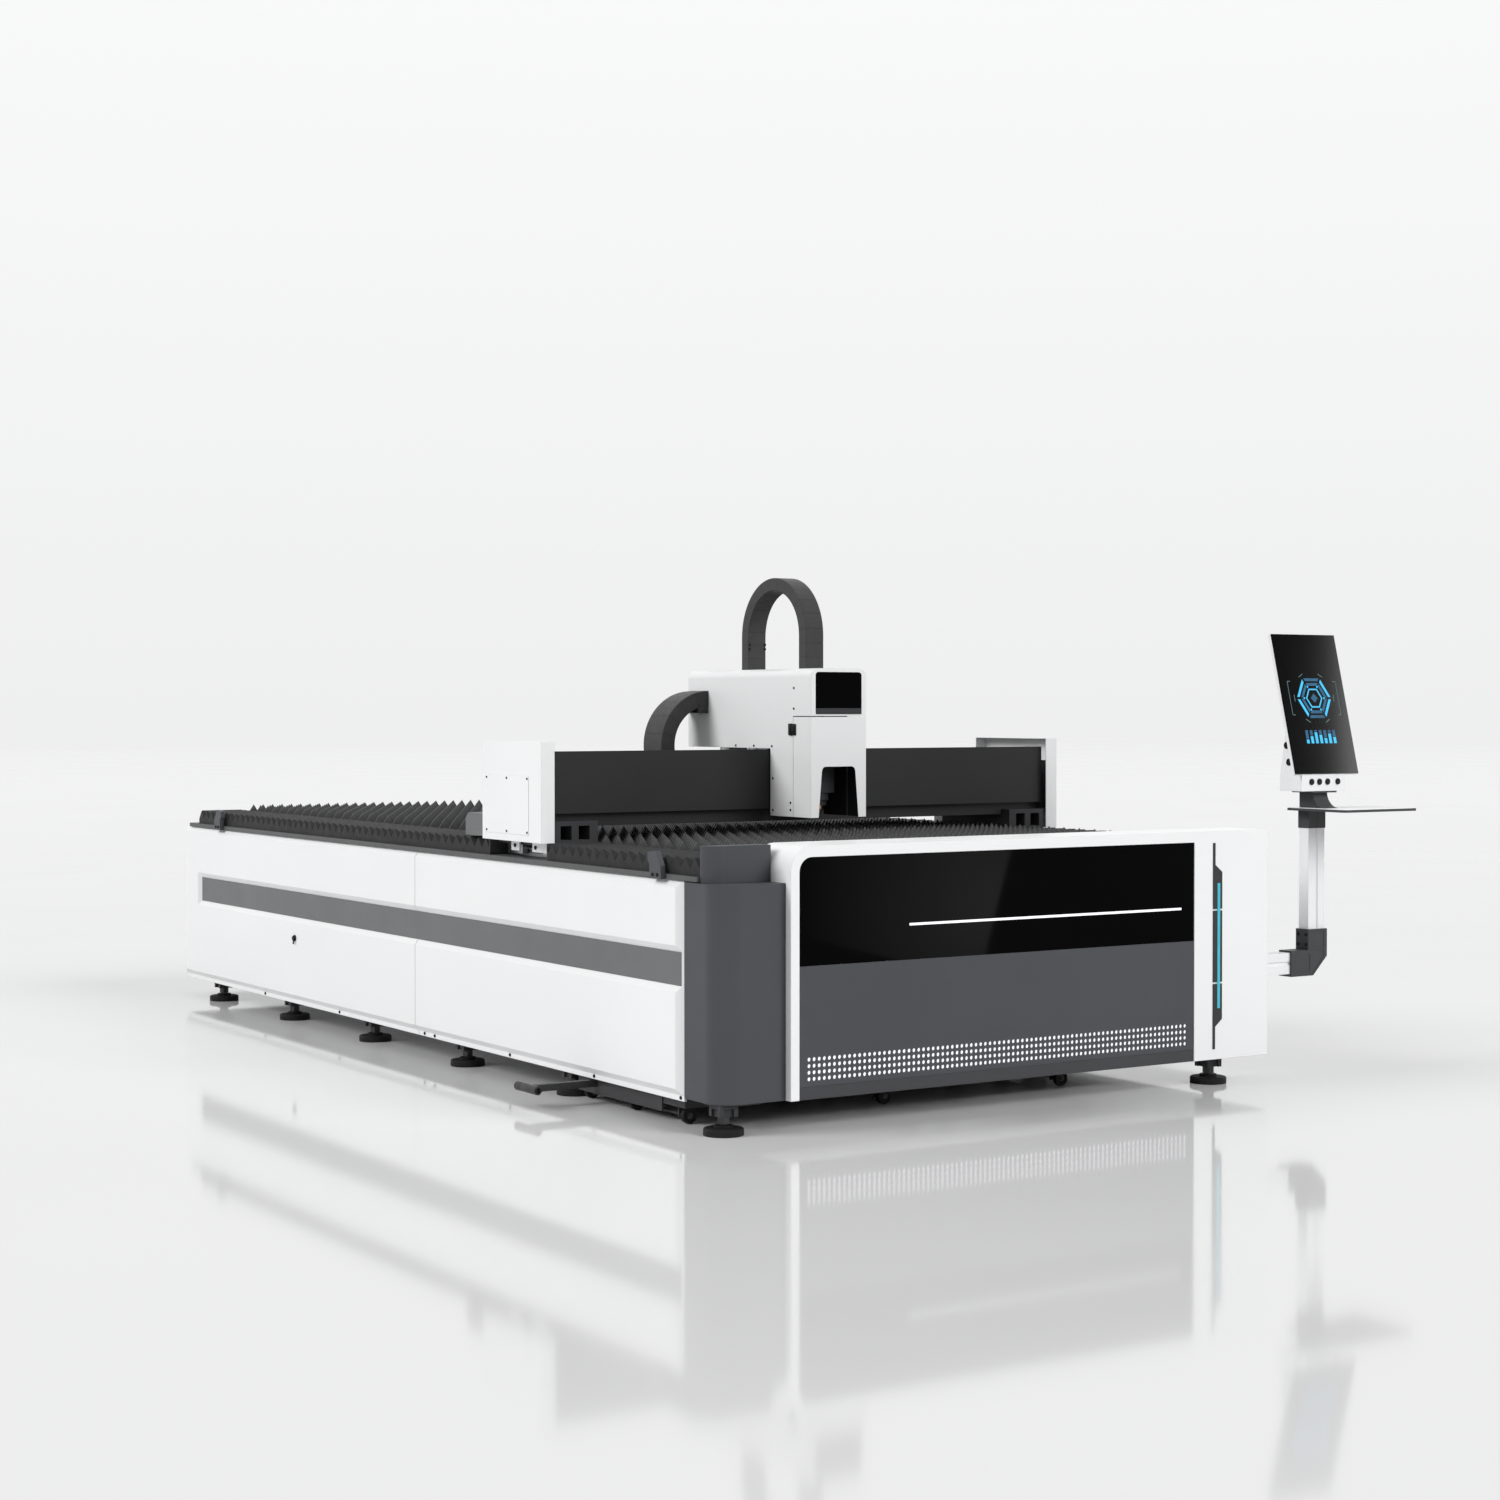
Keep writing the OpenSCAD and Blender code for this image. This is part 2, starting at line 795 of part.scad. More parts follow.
// Middle of the whole machine's box on the floor
x_mid = (grip_x - grip_d / 2 + shelf_right) / 2;
y_mid = (shelf_front + bed_l) / 2;

// Shared helpers
module along_x(x, length) translate([x, 0, 0]) rotate([90, 0, 90]) linear_extrude(length) children();

module along_y(y, length) translate([0, y + length, 0]) rotate([90, 0, 0]) linear_extrude(length) children();

module box(low, high) translate(low) cube(high - low);

module placed() translate([-x_mid, -y_mid, 0]) children();

module other_side() translate([bed_w, 0, 0]) mirror([1, 0, 0]) children();

module both_sides() {
    children();
    other_side() children();
}

module rect(low, high) translate(low) square(high - low);

// Rectangle with one round corner at its top left
module tab_outline(low, high, r) {
    rect(low, [high.x, high.y - r]);
    rect([low.x + r, low.y], high);
    translate([low.x + r, high.y - r]) circle(r);
}

// Rectangle with both top corners round
module arch_outline(low, high, r) intersection() {
    tab_outline(low, high, r);
    translate([low.x + high.x, 0]) mirror([1, 0]) tab_outline(low, high, r);
}

// Rectangle with four round corners
module round_outline(low, high, r) {
    rect([low.x + r, low.y], [high.x - r, high.y]);
    rect([low.x, low.y + r], [high.x, high.y - r]);
    for (x = [low.x + r, high.x - r], y = [low.y + r, high.y - r]) translate([x, y]) circle(r);
}

// Linear rail's section: a waisted bar
module rail_section(w, h) polygon([[-w / 2, 0], [w / 2, 0], [w / 2, h * 0.4], [w * 0.36, h * 0.52],
    [w * 0.36, h * 0.68], [w / 2, h * 0.8], [w / 2, h], [-w / 2, h], [-w / 2, h * 0.8],
    [-w * 0.36, h * 0.68], [-w * 0.36, h * 0.52], [-w / 2, h * 0.4]]);

// Bed
module tube(low, high, wall, axis) difference() {
    box(low, high);
    inner = [for (i = [0 : 2]) i == axis ? -eps : wall];
    box(low + inner, high - inner);
}

module foot_block(spot) difference() {
    box([spot.x - leg_tube / 2, spot.y - leg_tube / 2, block_z],
        [spot.x + leg_tube / 2, spot.y + leg_tube / 2, cab_bottom - seat]);
    translate([spot.x, spot.y, block_z - eps]) cylinder(d = stem_d + seat, h = stem_in + 2 + eps);
    for (turn = [0, 90]) translate([spot.x, spot.y, block_z - eps]) rotate(-turn)
        box([-slot_w / 2, -leg_tube / 2 - eps, 0], [slot_w / 2, slot_d - leg_tube / 2, slot_h + eps]);
}

module leg(spot) {
    tube([spot.x - leg_tube / 2, spot.y - leg_tube / 2, cab_bottom - seat],
        [spot.x + leg_tube / 2, spot.y + leg_tube / 2, beam_low - seat], tube_wall, 2);
    foot_block(spot);
}

module bed_frame() color("gray") {
    both_sides() tube([panel_t + seat, beam_front, beam_low], [beam_in, beam_rear, beam_top], tube_wall, 1);
    for (y = concat([beam_front + 60], foot_ys))
        tube([beam_in + seat, y - cross_tube / 2, cross_low],
            [bed_w - beam_in - seat, y + cross_tube / 2, cross_low + cross_tube], tube_wall, 0);
    for (i = [0 : len(foot_spots) - 1])
        if (i < 2) foot_block(foot_spots[i]);
        else leg(foot_spots[i]);
    // Plate that carries the post's corner on its foot
    translate([foot_corner_x - leg_tube / 2, foot_corner_y - leg_tube / 2, cab_bottom - seat - plate_t])
        cube([plate_l, plate_d, plate_t]);
}

module levelling_feet() color(charcoal) for (spot = foot_spots) translate([spot.x, spot.y, 0]) {
    rotate_extrude() {
        rect([0, 0], [pad_d / 2 - pad_r, pad_h]);
        rect([0, 0], [pad_d / 2, pad_h - pad_r]);
        translate([pad_d / 2 - pad_r, pad_h - pad_r]) circle(pad_r);
        rect([0, 0], [collar_d / 2, pad_h + collar_h]);
        rect([0, 0], [stem_d / 2, block_z + stem_in]);
    }
    translate([0, 0, pad_h + nut_up]) cylinder(d = nut_d, h = block_z - seat - pad_h - nut_up, $fn = 6);
}

// Panels
panel_outline = [[panel_inset, panel_bottom], [panel_inset, panel_bottom + lip_h],
    [0, panel_bottom + lip_h + panel_bevel], [0, panel_top - panel_bevel], [panel_inset, panel_top],
    [panel_t, panel_top], [panel_t, panel_bottom]];

module strip_recess() intersection() {
    along_y(0, bed_l) polygon([[-eps, strip_z0 - panel_bevel], [0, strip_z0 - panel_bevel],
        [strip_depth, strip_z0], [strip_depth, strip_z0 + strip_h], [0, strip_z0 + strip_h + panel_bevel],
        [-eps, strip_z0 + strip_h + panel_bevel]]);
    linear_extrude(panel_top) polygon([[-eps, strip_start], [strip_depth, strip_start],
        [strip_depth, strip_end - panel_bevel], [0, strip_end], [-eps, strip_end]]);
}

// Upright bevel at a panel's end; away is 1 at the front end and -1 at the rear end
module end_bevel(y, away) linear_extrude(panel_top + eps) polygon([[-eps, y - away * eps],
    [panel_inset, y - away * eps], [panel_inset, y], [0, y + away * end_bevel_w],
    [-eps, y + away * end_bevel_w]]);

module side_panels() difference() {
    union() {
        along_y(panel_front, panel_seam - seam_gap / 2 - panel_front) polygon(panel_outline);
        along_y(panel_seam + seam_gap / 2, bed_l - panel_seam - seam_gap / 2) polygon(panel_outline);
    }
    strip_recess();
    end_bevel(panel_front, 1);
    end_bevel(bed_l, -1);
}

module side_panels_left() color(white) side_panels();

module side_panels_right() color(white) other_side() side_panels();

module accent_strips() color("gray") both_sides()
    along_y(strip_start + seat, strip_end - panel_bevel - 2 * seat - strip_start)
        rect([strip_depth - strip_t, strip_z0 + seat], [strip_depth, strip_z0 + strip_h - seat]);

// Rear panel with a folded flange that closes the bed behind the last slat
module rear_panel() color(white) {
    along_x(panel_t + seat, bed_w - 2 * panel_t - 2 * seat)
        translate([bed_l, 0]) mirror([1, 0]) polygon(panel_outline);
    along_x(beam_in + seat, bed_w - 2 * (beam_in + seat))
        rect([slat_first + slat_n * slat_pitch + 4, panel_top - 4], [bed_l - panel_t + eps, panel_top]);
}

module panel_lock() color(black) translate([0, bed_l - lock_rear, lock_z]) rotate([0, -90, 0]) {
    cylinder(d = lock_d, h = lock_d * 0.2);
    cylinder(d = lock_d * 0.65, h = lock_d * 0.42);
    translate([-lock_d * 0.92, -lock_d * 0.15, lock_d * 0.2])
        cube([lock_d * 0.92, lock_d * 0.3, lock_d * 0.15]);
}

// Corner and front cabinet
module corner_plan(low, high, r) intersection() {
    round_outline(low, high + [2 * r, 2 * r], r);
    rect(low, high);
}

module post_shell() difference() {
    corner_plan([0, 0], [cab_x - seat, post_rear], post_r);
    corner_plan([post_t, post_t], [cab_x, post_rear + eps], post_r - post_t);
}

module corner_post() color(charcoal) {
    translate([0, 0, cab_bottom]) linear_extrude(panel_top - cab_bottom - 2) post_shell();
    for (z = [cab_bottom, panel_top - 2 - post_t]) translate([0, 0, z])
        linear_extrude(post_t) corner_plan([0, 0], [cab_x - seat, cab_back - 4], post_r);
}

module corner_cap() color(charcoal) {
    low = panel_top - 2 + seat;
    translate([0, 0, low]) difference() {
        linear_extrude(cab_top - low) corner_plan([cap_in, cap_front], [cab_x - seat, cap_rear], cap_r);
        translate([0, 0, -eps]) linear_extrude(cab_top - low - post_t + eps)
            corner_plan([cap_in + post_t, cap_front + post_t], [cab_x - seat - post_t, cap_rear + eps],
                cap_r - post_t);
    }
}

module cab_outline(inset) tab_outline([cab_x + inset, cab_bottom + inset],
    [cab_right - inset, cab_top - inset], cab_r - inset);

module front_frame() color(white) {
    difference() {
        along_y(-cab_front, cab_depth) cab_outline(0);
        along_y(rim_d - cab_front, cab_depth) cab_outline(cab_wall);
        along_y(-cab_front - eps, rim_d + 2 * eps)
            tab_outline([win_x, cab_bottom - eps], [column_x, win_top], win_r);
    }
    // White inner sheet close behind the vent holes
    along_y(face_recess + vent_t + 2 - cab_front, 3)
        rect([win_x - eps, kick_z], [column_x + eps, hole_z + hole_nz * hole_pz + 20]);
}

module window_panel() color(black) difference() {
    along_y(face_recess - cab_front, win_t)
        tab_outline([win_x + seat, win_z + seat], [column_x - seat, win_top - seat], win_r - seat);
    along_y(face_recess - cab_front - eps, bar_d + eps)
        rect([bar_x, bar_z], [bar_x + bar_l, bar_z + bar_h]);
}

module light_bar() color("white") along_y(face_recess - cab_front - 0.5, bar_d + 0.5)
    rect([bar_x + seat, bar_z + seat], [bar_x + bar_l - seat, bar_z + bar_h - seat]);

module vent_panel() color(charcoal) along_y(face_recess - cab_front, vent_t) difference() {
    rect([win_x + seat, kick_z + seat], [column_x - seat, win_z - seat]);
    for (i = [0 : hole_nx - 1], j = [0 : hole_nz - 1])
        translate([(win_x + column_x) / 2 + (i - (hole_nx - 1) / 2) * hole_px, hole_z + j * hole_pz])
            circle(d = hole_d, $fn = 24);
}

module kick_plate() color("#46484c") along_y(face_recess + 1 - cab_front, vent_t)
    rect([win_x + seat, cab_bottom], [column_x - seat, kick_z - seat]);

accent_x = column_x + accent_in;
led_x = accent_x + accent_line + (accent_w - accent_line - led_w) / 2;

module accent_trim() color(charcoal) along_y(-cab_front - accent_t, accent_t) difference() {
    polygon([[accent_x, accent_z0], [accent_x + accent_line, accent_z0],
        [accent_x + accent_line, broad_z0 - broad_slope], [accent_x + accent_w, broad_z0],
        [accent_x + accent_w, broad_z1], [accent_x + accent_line, broad_z1 + broad_slope],
        [accent_x + accent_line, accent_z1], [accent_x, accent_z1]]);
    rect([led_x, led_z], [led_x + led_w, led_z + led_l]);
    for (z = [tick_low, tick_high]) rect([accent_x - eps, z], [accent_x + accent_w + eps, z + tick_h]);
}

module accent_led() color("turquoise") along_y(-cab_front - accent_t - 0.5, accent_t + 0.5)
    rect([led_x + seat, led_z + seat], [led_x + led_w - seat, led_z + led_l - seat]);

// Rails, stops and bellows
module rail_base(start) box([base_x, start, beam_top], [base_in, rail_end + 90, base_top]);

module rail_bases() color("darkgray") {
    rail_base(left_base_start);
    other_side() rail_base(beam_front);
}

module linear_rails() color(steel) both_sides() along_y(rail_start, rail_end - rail_start)
    translate([rail_x, base_top]) rail_section(rail_w, rail_h);

module gear_racks() color(steel) both_sides()
    box([rack_x, rail_start, base_top], [rack_x + rack_w, rail_end, base_top + rack_h]);

// Stop bracket's side view, leaning away from the bridge
module stop_outline() polygon([[0, 0], [stop_foot, 0], [stop_foot, stop_h * 0.5], [stop_l, stop_h * 0.63],
    [stop_l, stop_h * 0.94], [stop_l * 0.42, stop_h], [stop_l * 0.04, stop_h * 0.47]]);

module stop_brackets() color(charcoal) both_sides() {
    along_x(base_x - stop_t, stop_t) translate([stop_front, beam_top]) stop_outline();
    along_x(base_x - stop_t, stop_t) translate([bed_l - stop_rear, beam_top]) mirror([1, 0]) stop_outline();
}

// One accordion cover: a pleated roof over the rail, open below
module bellows(start, end) {
    folds = round((end - start) / fold_l);
    step = (end - start) / folds / 2;
    low = base_top + seat;
    ridge = base_top + bellows_h;
    difference() {
        along_x(bellows_x, bellows_w) polygon(concat(
            [for (i = [0 : 2 * folds]) [start + i * step, i % 2 == 0 ? ridge - fold_d : ridge]],
            [[end, low], [start, low]]));
        along_x(bellows_x + bellows_t, bellows_w - 2 * bellows_t) polygon(concat(
            [for (i = [0 : 2 * folds])
                [start + i * step, (i % 2 == 0 ? ridge - fold_d : ridge) - bellows_t]],
            [[end + eps, ridge - fold_d - bellows_t], [end + eps, low - eps], [start - eps, low - eps],
                [start - eps, ridge - fold_d - bellows_t]]));
    }
}

module bellows_front() color(charcoal) {
    bellows(left_base_start + 2, truck_front - flange_t - seat);
    other_side() bellows(beam_front + 2, truck_front - flange_t - seat);
}

module bellows_rear() color(charcoal) both_sides()
    bellows(truck_back + flange_t + seat, rail_end + 2);

// Slat table
slat_n = floor((beam_rear - 40 - slat_first) / slat_pitch);
slat_x = beam_in + slat_in;
slat_len = bed_w - 2 * slat_x;
tooth_n = round(slat_len / tooth_l);
tooth_step = slat_len / tooth_n;

module slat_racks() color("gray") both_sides() difference() {
    box([beam_in + seat, beam_front, comb_low],
        [beam_in + comb_t, slat_first + slat_n * slat_pitch, comb_top]);
    for (i = [0 : slat_n - 1])
        box([0, slat_first + i * slat_pitch - slat_t / 2 - seat, slat_low - seat],
            [slat_x + comb_t + eps, slat_first + i * slat_pitch + slat_t / 2 + seat, comb_top + eps]);
}

module slats() color(steel) for (i = [0 : slat_n - 1])
    along_y(slat_first + i * slat_pitch - slat_t / 2, slat_t) translate([slat_x, 0]) polygon(concat(
        [[0, slat_low], [slat_len, slat_low]],
        [for (k = [tooth_n : -1 : 1], top = [0, 1])
            [(k - top * 0.5) * tooth_step, slat_top - (1 - top) * tooth_h]],
        [[0, slat_top - tooth_h]]));

// Bridge
module beam() color("#4a4c50")
    tube([box_x + box_wall, beam_y, beam_z], [bed_w - box_x - box_wall, beam_back, deck], beam_wall, 0);

module beam_cover() color("#3a3c40") along_x(box_x + box_t + eps, bed_w - 2 * (box_x + box_t + eps)) {
    rect([cover_front, cover_z], [cover_front + cover_t, cover_top]);
    rect([cover_front, cover_z], [beam_y, cover_z + cover_t]);
}

module truck() difference() {
    union() {
        box([truck_x, truck_front, truck_z], [truck_x + truck_w, truck_back, beam_z]);
        for (y = [truck_front - flange_t, truck_back])
            box([bellows_x, y, base_top + 3], [bellows_x + bellows_w, y + flange_t, box_z - eps]);
    }
    // Windows through the pedestal and the slots over rail and rack
    for (i = [0, 1]) translate([truck_x + truck_win_in + i * (truck_win_w + truck_win_gap), 0, 0])
        box([0, truck_front - flange_t - eps, truck_z + truck_win_up],
            [truck_win_w, truck_back + flange_t + eps, beam_z - truck_win_down]);
    box([rail_x - rail_w / 2 - 8, truck_front - 2 * flange_t, base_top],
        [rack_x + rack_w + 4, truck_back + 2 * flange_t, truck_z]);
}

module trucks() color("gray") both_sides() truck();

module bearing_blocks() color(steel) both_sides()
    for (y = [truck_front + bearing_in, truck_back - bearing_in - bearing_l]) difference() {
        box([rail_x - bearing_w / 2, y, base_top + 7], [rail_x + bearing_w / 2, y + bearing_l, truck_z]);
        box([rail_x - rail_w / 2 - glide, y - eps, base_top],
            [rail_x + rail_w / 2 + glide, y + bearing_l + eps, base_top + rail_h + glide]);
    }

module end_box() {
    difference() {
        box([box_x, box_y, box_z], [box_x + box_t, box_rear, box_top]);
        box([box_x + box_wall, box_y + box_wall, box_z + box_wall],
            [box_x + box_t + eps, box_rear - box_wall, box_top - box_wall]);
    }
    // Lugs that reach down beside the rail
    for (lug = [[lug_front, lug_front_l], [lug_rear, lug_rear_l]])
        box([box_x + box_t - lug_t, box_y + lug[0], box_z - lug_drop],
            [box_x + box_t, box_y + lug[0] + lug[1], box_z + box_wall]);
}

module end_boxes() color(white) both_sides() end_box();

module access_covers() color(white) both_sides() box(
    [box_x - hatch_t, box_rear - hatch_rear - hatch_l, box_z + hatch_up],
    [box_x, box_rear - hatch_rear, box_z + hatch_up + hatch_h]);

module drive_guards() color("gray") both_sides() along_x(base_x + 4, guard_w)
    translate([box_rear, box_z + guard_up]) polygon([[seat, 0], [guard_l, 0], [guard_l, guard_h - guard_cut],
        [guard_l - guard_cut, guard_h], [seat, guard_h]]);

module beam_rails() color(steel) for (y = rail_ys)
    along_x(box_x + box_t + 10, bed_w - 2 * (box_x + box_t + 10))
        translate([y, deck]) rail_section(x_rail_w, x_rail_h);

tray_x0 = truck_x + truck_w + tray_gap;
tray_low = chain_low - x_chain_t - 1 - tray_t;
tray_back = chain_y + x_chain_w + tray_room;

module chain_tray() color("#4a4c50") along_x(tray_x0, bed_w - 2 * tray_x0) {
    rect([beam_back, tray_low], [beam_back + tray_t, chain_low + tray_t]);
    rect([beam_back, tray_low], [tray_back + tray_t, tray_low + tray_t]);
    rect([tray_back, tray_low], [tray_back + tray_t, chain_low - 2]);
}

module chain_run() color(black) box([tray_x0 + tray_t, chain_y, tray_low + tray_t + seat],
    [tray_x0 + tray_t + run_l, chain_y + x_chain_w, chain_low - 2 * seat]);

// Carriage
module saddle() color("#55585c") {
    inside = head_wall + seat;
    box([head_left + inside, saddle_front, saddle_z],
        [head_right - inside, beam_back + 10, saddle_z + saddle_t]);
    box([head_left + inside, saddle_front, head_z + saddle_up],
        [head_right - inside, saddle_front + saddle_t, head_top - saddle_down]);
    for (side = [-1, 1]) translate([head_x + side * guide_span / 2, 0, 0])
        box([-guide_w / 2, guide_y, head_z + saddle_up + guide_in],
            [guide_w / 2, saddle_front + eps, head_top - saddle_down - guide_in]);
}

module saddle_blocks() color(steel) for (y = rail_ys, side = [-1, 1]) difference() {
    x = head_x + side * shoe_x;
    box([x - shoe_l / 2, y - shoe_w / 2, deck + 5], [x + shoe_l / 2, y + shoe_w / 2, saddle_z]);
    box([x - shoe_l, y - x_rail_w / 2 - glide, deck],
        [x + shoe_l, y + x_rail_w / 2 + glide, deck + x_rail_h + glide]);
}

module head_section(inset) arch_outline([head_left + inset, 0], [head_right - inset, head_top - inset],
    head_r - inset);

module head_cover() color(white) difference() {
    intersection() {
        along_y(head_y, head_l) head_section(0);
        along_x(head_left, head_w) polygon([[head_y, cheek_z], [cheek_y, cheek_z], [cheek_y, head_z],
            [head_mid, head_z], [head_mid, head_rear_z], [head_back, head_rear_z], [head_back, head_top],
            [head_y, head_top]]);
    }
    intersection() {
        along_y(head_y + head_wall, head_l - 2 * head_wall) head_section(head_wall);
        along_x(head_left, head_w) polygon([[head_y, cheek_z + head_wall], [head_y + 22, cheek_z + head_wall],
            [head_y + 22, head_z - eps], [head_mid + eps, head_z - eps], [head_mid + eps, head_rear_z - eps],
            [head_back, head_rear_z - eps], [head_back, head_top], [head_y, head_top]]);
    }
    along_y(head_y - eps, head_wall + 2 * eps) round_outline(
        [head_left + head_win_rim, head_top - head_win_up - head_win_h],
        [head_right - head_win_rim, head_top - head_win_up], head_win_r);
    // Slots for both ends of the upright chain and for the side chain
    for (y = [head_y + z_chain_in, head_y + z_chain_in + 2 * z_chain_r - z_chain_t])
        box([head_left + z_chain_left - seat, y - seat, head_top - head_wall - eps],
            [head_left + z_chain_left + z_chain_w + seat, y + z_chain_t + seat, head_top + eps]);
    box([head_left - eps, chain_y - seat, chain_top - x_chain_t - seat],
        [head_left + head_wall + eps, chain_y + x_chain_w + seat, chain_top + seat]);
}

module head_window() color(black) along_y(head_y + 0.5, head_win_t) round_outline(
    [head_left + head_win_rim + seat, head_top - head_win_up - head_win_h + seat],
    [head_right - head_win_rim - seat, head_top - head_win_up - seat], head_win_r - seat);

// Half ring on the negative x side of its plane, with two straight ends towards positive x
module chain_loop(r, t, upper, lower) {
    intersection() {
        difference() {
            circle(r, $fn = 96);
            circle(r - t, $fn = 96);
        }
        rect([-r - eps, -r - eps], [0, r + eps]);
    }
    rect([-eps, r - t], [upper, r]);
    rect([-eps, -r], [lower, t - r]);
}

module z_chain() color(black) along_x(head_left + z_chain_left, z_chain_w)
    translate([head_y + z_chain_in + z_chain_r, head_top + z_leg])
        rotate(-90) chain_loop(z_chain_r, z_chain_t, z_leg + z_foot, z_leg + z_foot);

module x_chain() color(black) along_y(chain_y, x_chain_w) translate([head_left - eps, x_chain_z]) {
    chain_loop(x_chain_r, x_chain_t, x_upper, x_lower);
    rect([-x_bracket_l, x_chain_r - x_chain_t - x_bracket_h], [0, x_chain_r - x_chain_t / 2]);
}

hinge_zs = [head_z + hinge_up, door_top - hinge_down];

module knuckle(z, h) translate([pivot_x, pivot_y, z]) cylinder(r = knuckle_r, h = h);

// Hinges on the cover: two outer knuckles, a leaf and the pin in each
module door_hinges() color(black) for (z = hinge_zs) {
    for (low = [z, z + hinge_h * 2 / 3]) {
        knuckle(low, hinge_h / 3);
        box([head_right, cheek_y, low], [head_right + leaf_t, cheek_y + leaf_w, low + hinge_h / 3]);
        box([head_right + 1, pivot_y, low], [pivot_x, cheek_y + leaf_t, low + hinge_h / 3]);
    }
    translate([pivot_x, pivot_y, z]) cylinder(r = knuckle_r / 2, h = hinge_h);
}

// Folded door: a front sheet with two wings and a cut-out for the nozzle
module head_door() color(white) difference() {
    union() {
        difference() {
            box([head_left, head_y, head_z], [head_right, door_end, door_top]);
            box([head_left + head_wall, head_y + head_wall, head_z - eps],
                [head_right - head_wall, door_end + eps, door_top + eps]);
        }
        for (z = hinge_zs) {
            knuckle(z + hinge_h / 3 + seat, hinge_h / 3 - 2 * seat);
            box([head_right - eps, door_end - leaf_w, z + hinge_h / 3 + seat],
                [head_right + leaf_t, pivot_y, z + hinge_h * 2 / 3 - seat]);
            box([head_right - eps, door_end - leaf_t, z + hinge_h / 3 + seat],
                [pivot_x, pivot_y, z + hinge_h * 2 / 3 - seat]);
        }
    }
    along_y(head_y - eps, head_wall + 2 * eps) translate([head_x, head_z]) door_cut();
    for (z = hinge_zs) translate([pivot_x, pivot_y, z]) cylinder(r = knuckle_r / 2 + run_gap, h = hinge_h);
}

// Cut-out that widens downwards, with round top corners
module door_cut() {
    side = (cut_low_w - cut_top_w) / 2 * cut_r / cut_h;
    polygon([[-cut_low_w / 2, -eps], [cut_low_w / 2, -eps], [cut_top_w / 2 + side, cut_h - cut_r],
        [cut_top_w / 2 - cut_r, cut_h - cut_r], [cut_r - cut_top_w / 2, cut_h - cut_r],
        [-cut_top_w / 2 - side, cut_h - cut_r]]);
    rect([cut_r - cut_top_w / 2, cut_h - 2 * cut_r], [cut_top_w / 2 - cut_r, cut_h]);
    for (s = [-1, 1]) translate([s * (cut_top_w / 2 - cut_r), cut_h - cut_r]) circle(cut_r);
}

barrel_z = tip_z + nozzle_h;
barrel_y = slide_y - slide_t - barrel_d / 2 - 12;
shoe_zs = [barrel_z + block_up + 26, barrel_z + block_up + block_h - slide_shoe + 6];

module cutting_head() color("#3c3f44") {
    // Slide with four shoes around the vertical guides
    difference() {
        union() {
            box([head_x - guide_span / 2 - slide_side, slide_y - slide_t, shoe_zs[0] - eps],
                [head_x + guide_span / 2 + slide_side, slide_y, shoe_zs[1] + slide_shoe + eps]);
            for (side = [-1, 1], z = shoe_zs)
                box([head_x + side * guide_span / 2 - guide_w, slide_y - eps, z],
                    [head_x + side * guide_span / 2 + guide_w, saddle_front - 2, z + slide_shoe]);
        }
        for (side = [-1, 1])
            box([head_x + side * guide_span / 2 - guide_w / 2 - glide, guide_y - glide, 0],
                [head_x + side * guide_span / 2 + guide_w / 2 + glide, saddle_front, head_top]);
    }
    // Focusing block, barrel and collimator
    box([head_x - block_w / 2, barrel_y - barrel_d / 2 - 4, barrel_z + block_up],
        [head_x + block_w / 2, slide_y - slide_t + eps, barrel_z + block_up + block_h]);
    translate([head_x, barrel_y, barrel_z]) cylinder(d = barrel_d * 0.8, h = block_up);
    translate([head_x, barrel_y, barrel_z + block_up * 0.4]) cylinder(d = barrel_d, h = block_up);
    translate([head_x, barrel_y, barrel_z + block_up + block_h - eps])
        cylinder(d = barrel_d * 0.7, h = block_up);
}

module nozzle() color("#b87333") translate([head_x, barrel_y, tip_z]) difference() {
    union() {
        cylinder(d1 = tip_d, d2 = nozzle_d * 0.74, h = nozzle_h - nozzle_collar);
        translate([0, 0, nozzle_h - nozzle_collar]) cylinder(d = nozzle_d, h = nozzle_collar);
    }
    translate([0, 0, -eps]) cylinder(d = bore_d, h = nozzle_h + 2 * eps);
}

// Console
socket_x = post_x - elbow_w / 2 - socket_l;

// Groove's section: first axis across it, second into the depth
module groove() polygon([[-groove_w / 2, -eps], [-groove_w / 5, groove_d], [groove_w / 5, groove_d],
    [groove_w / 2, -eps]]);

module console_arm() color(white) {
    front = post_y - post_d / 2;
    back = post_y + post_d / 2;
    difference() {
        box([bed_w, front, arm_z], [socket_x + socket_d, back, arm_z + arm_h]);
        along_x(bed_w + arm_plate_t, post_out)
            translate([front, arm_mid]) rotate(-90) mirror([1, 0]) groove();
    }
    box([bed_w, front - arm_plate, arm_z - arm_plate],
        [bed_w + arm_plate_t, back + arm_plate, arm_z + arm_h + arm_plate]);
}

elbow_left = post_x - elbow_w / 2;
elbow_right = post_x + elbow_w / 2;
elbow_wall = (elbow_d - post_d) / 2;
elbow_low = arm_z - elbow_wall - 2;
elbow_sill = arm_z + arm_h + elbow_wall - 2;

module console_elbow() color("#6a6d72") difference() {
    along_y(post_y - elbow_d / 2, elbow_d) polygon([[socket_x, elbow_low],
        [elbow_right - elbow_cut, elbow_low], [elbow_right, elbow_low + elbow_cut], [elbow_right, elbow_top],
        [elbow_left, elbow_top], [elbow_left, elbow_sill], [socket_x, elbow_sill]]);
    box([socket_x - eps, post_y - post_d / 2 - seat, arm_z - seat],
        [socket_x + socket_d + seat, post_y + post_d / 2 + seat, arm_z + arm_h + seat]);
    box([post_x - post_w / 2 - seat, post_y - post_d / 2 - seat, elbow_top - post_in],
        [post_x + post_w / 2 + seat, post_y + post_d / 2 + seat, elbow_top + eps]);
    along_y(post_y - elbow_d / 2 - eps, field_d + eps) elbow_fields();
}

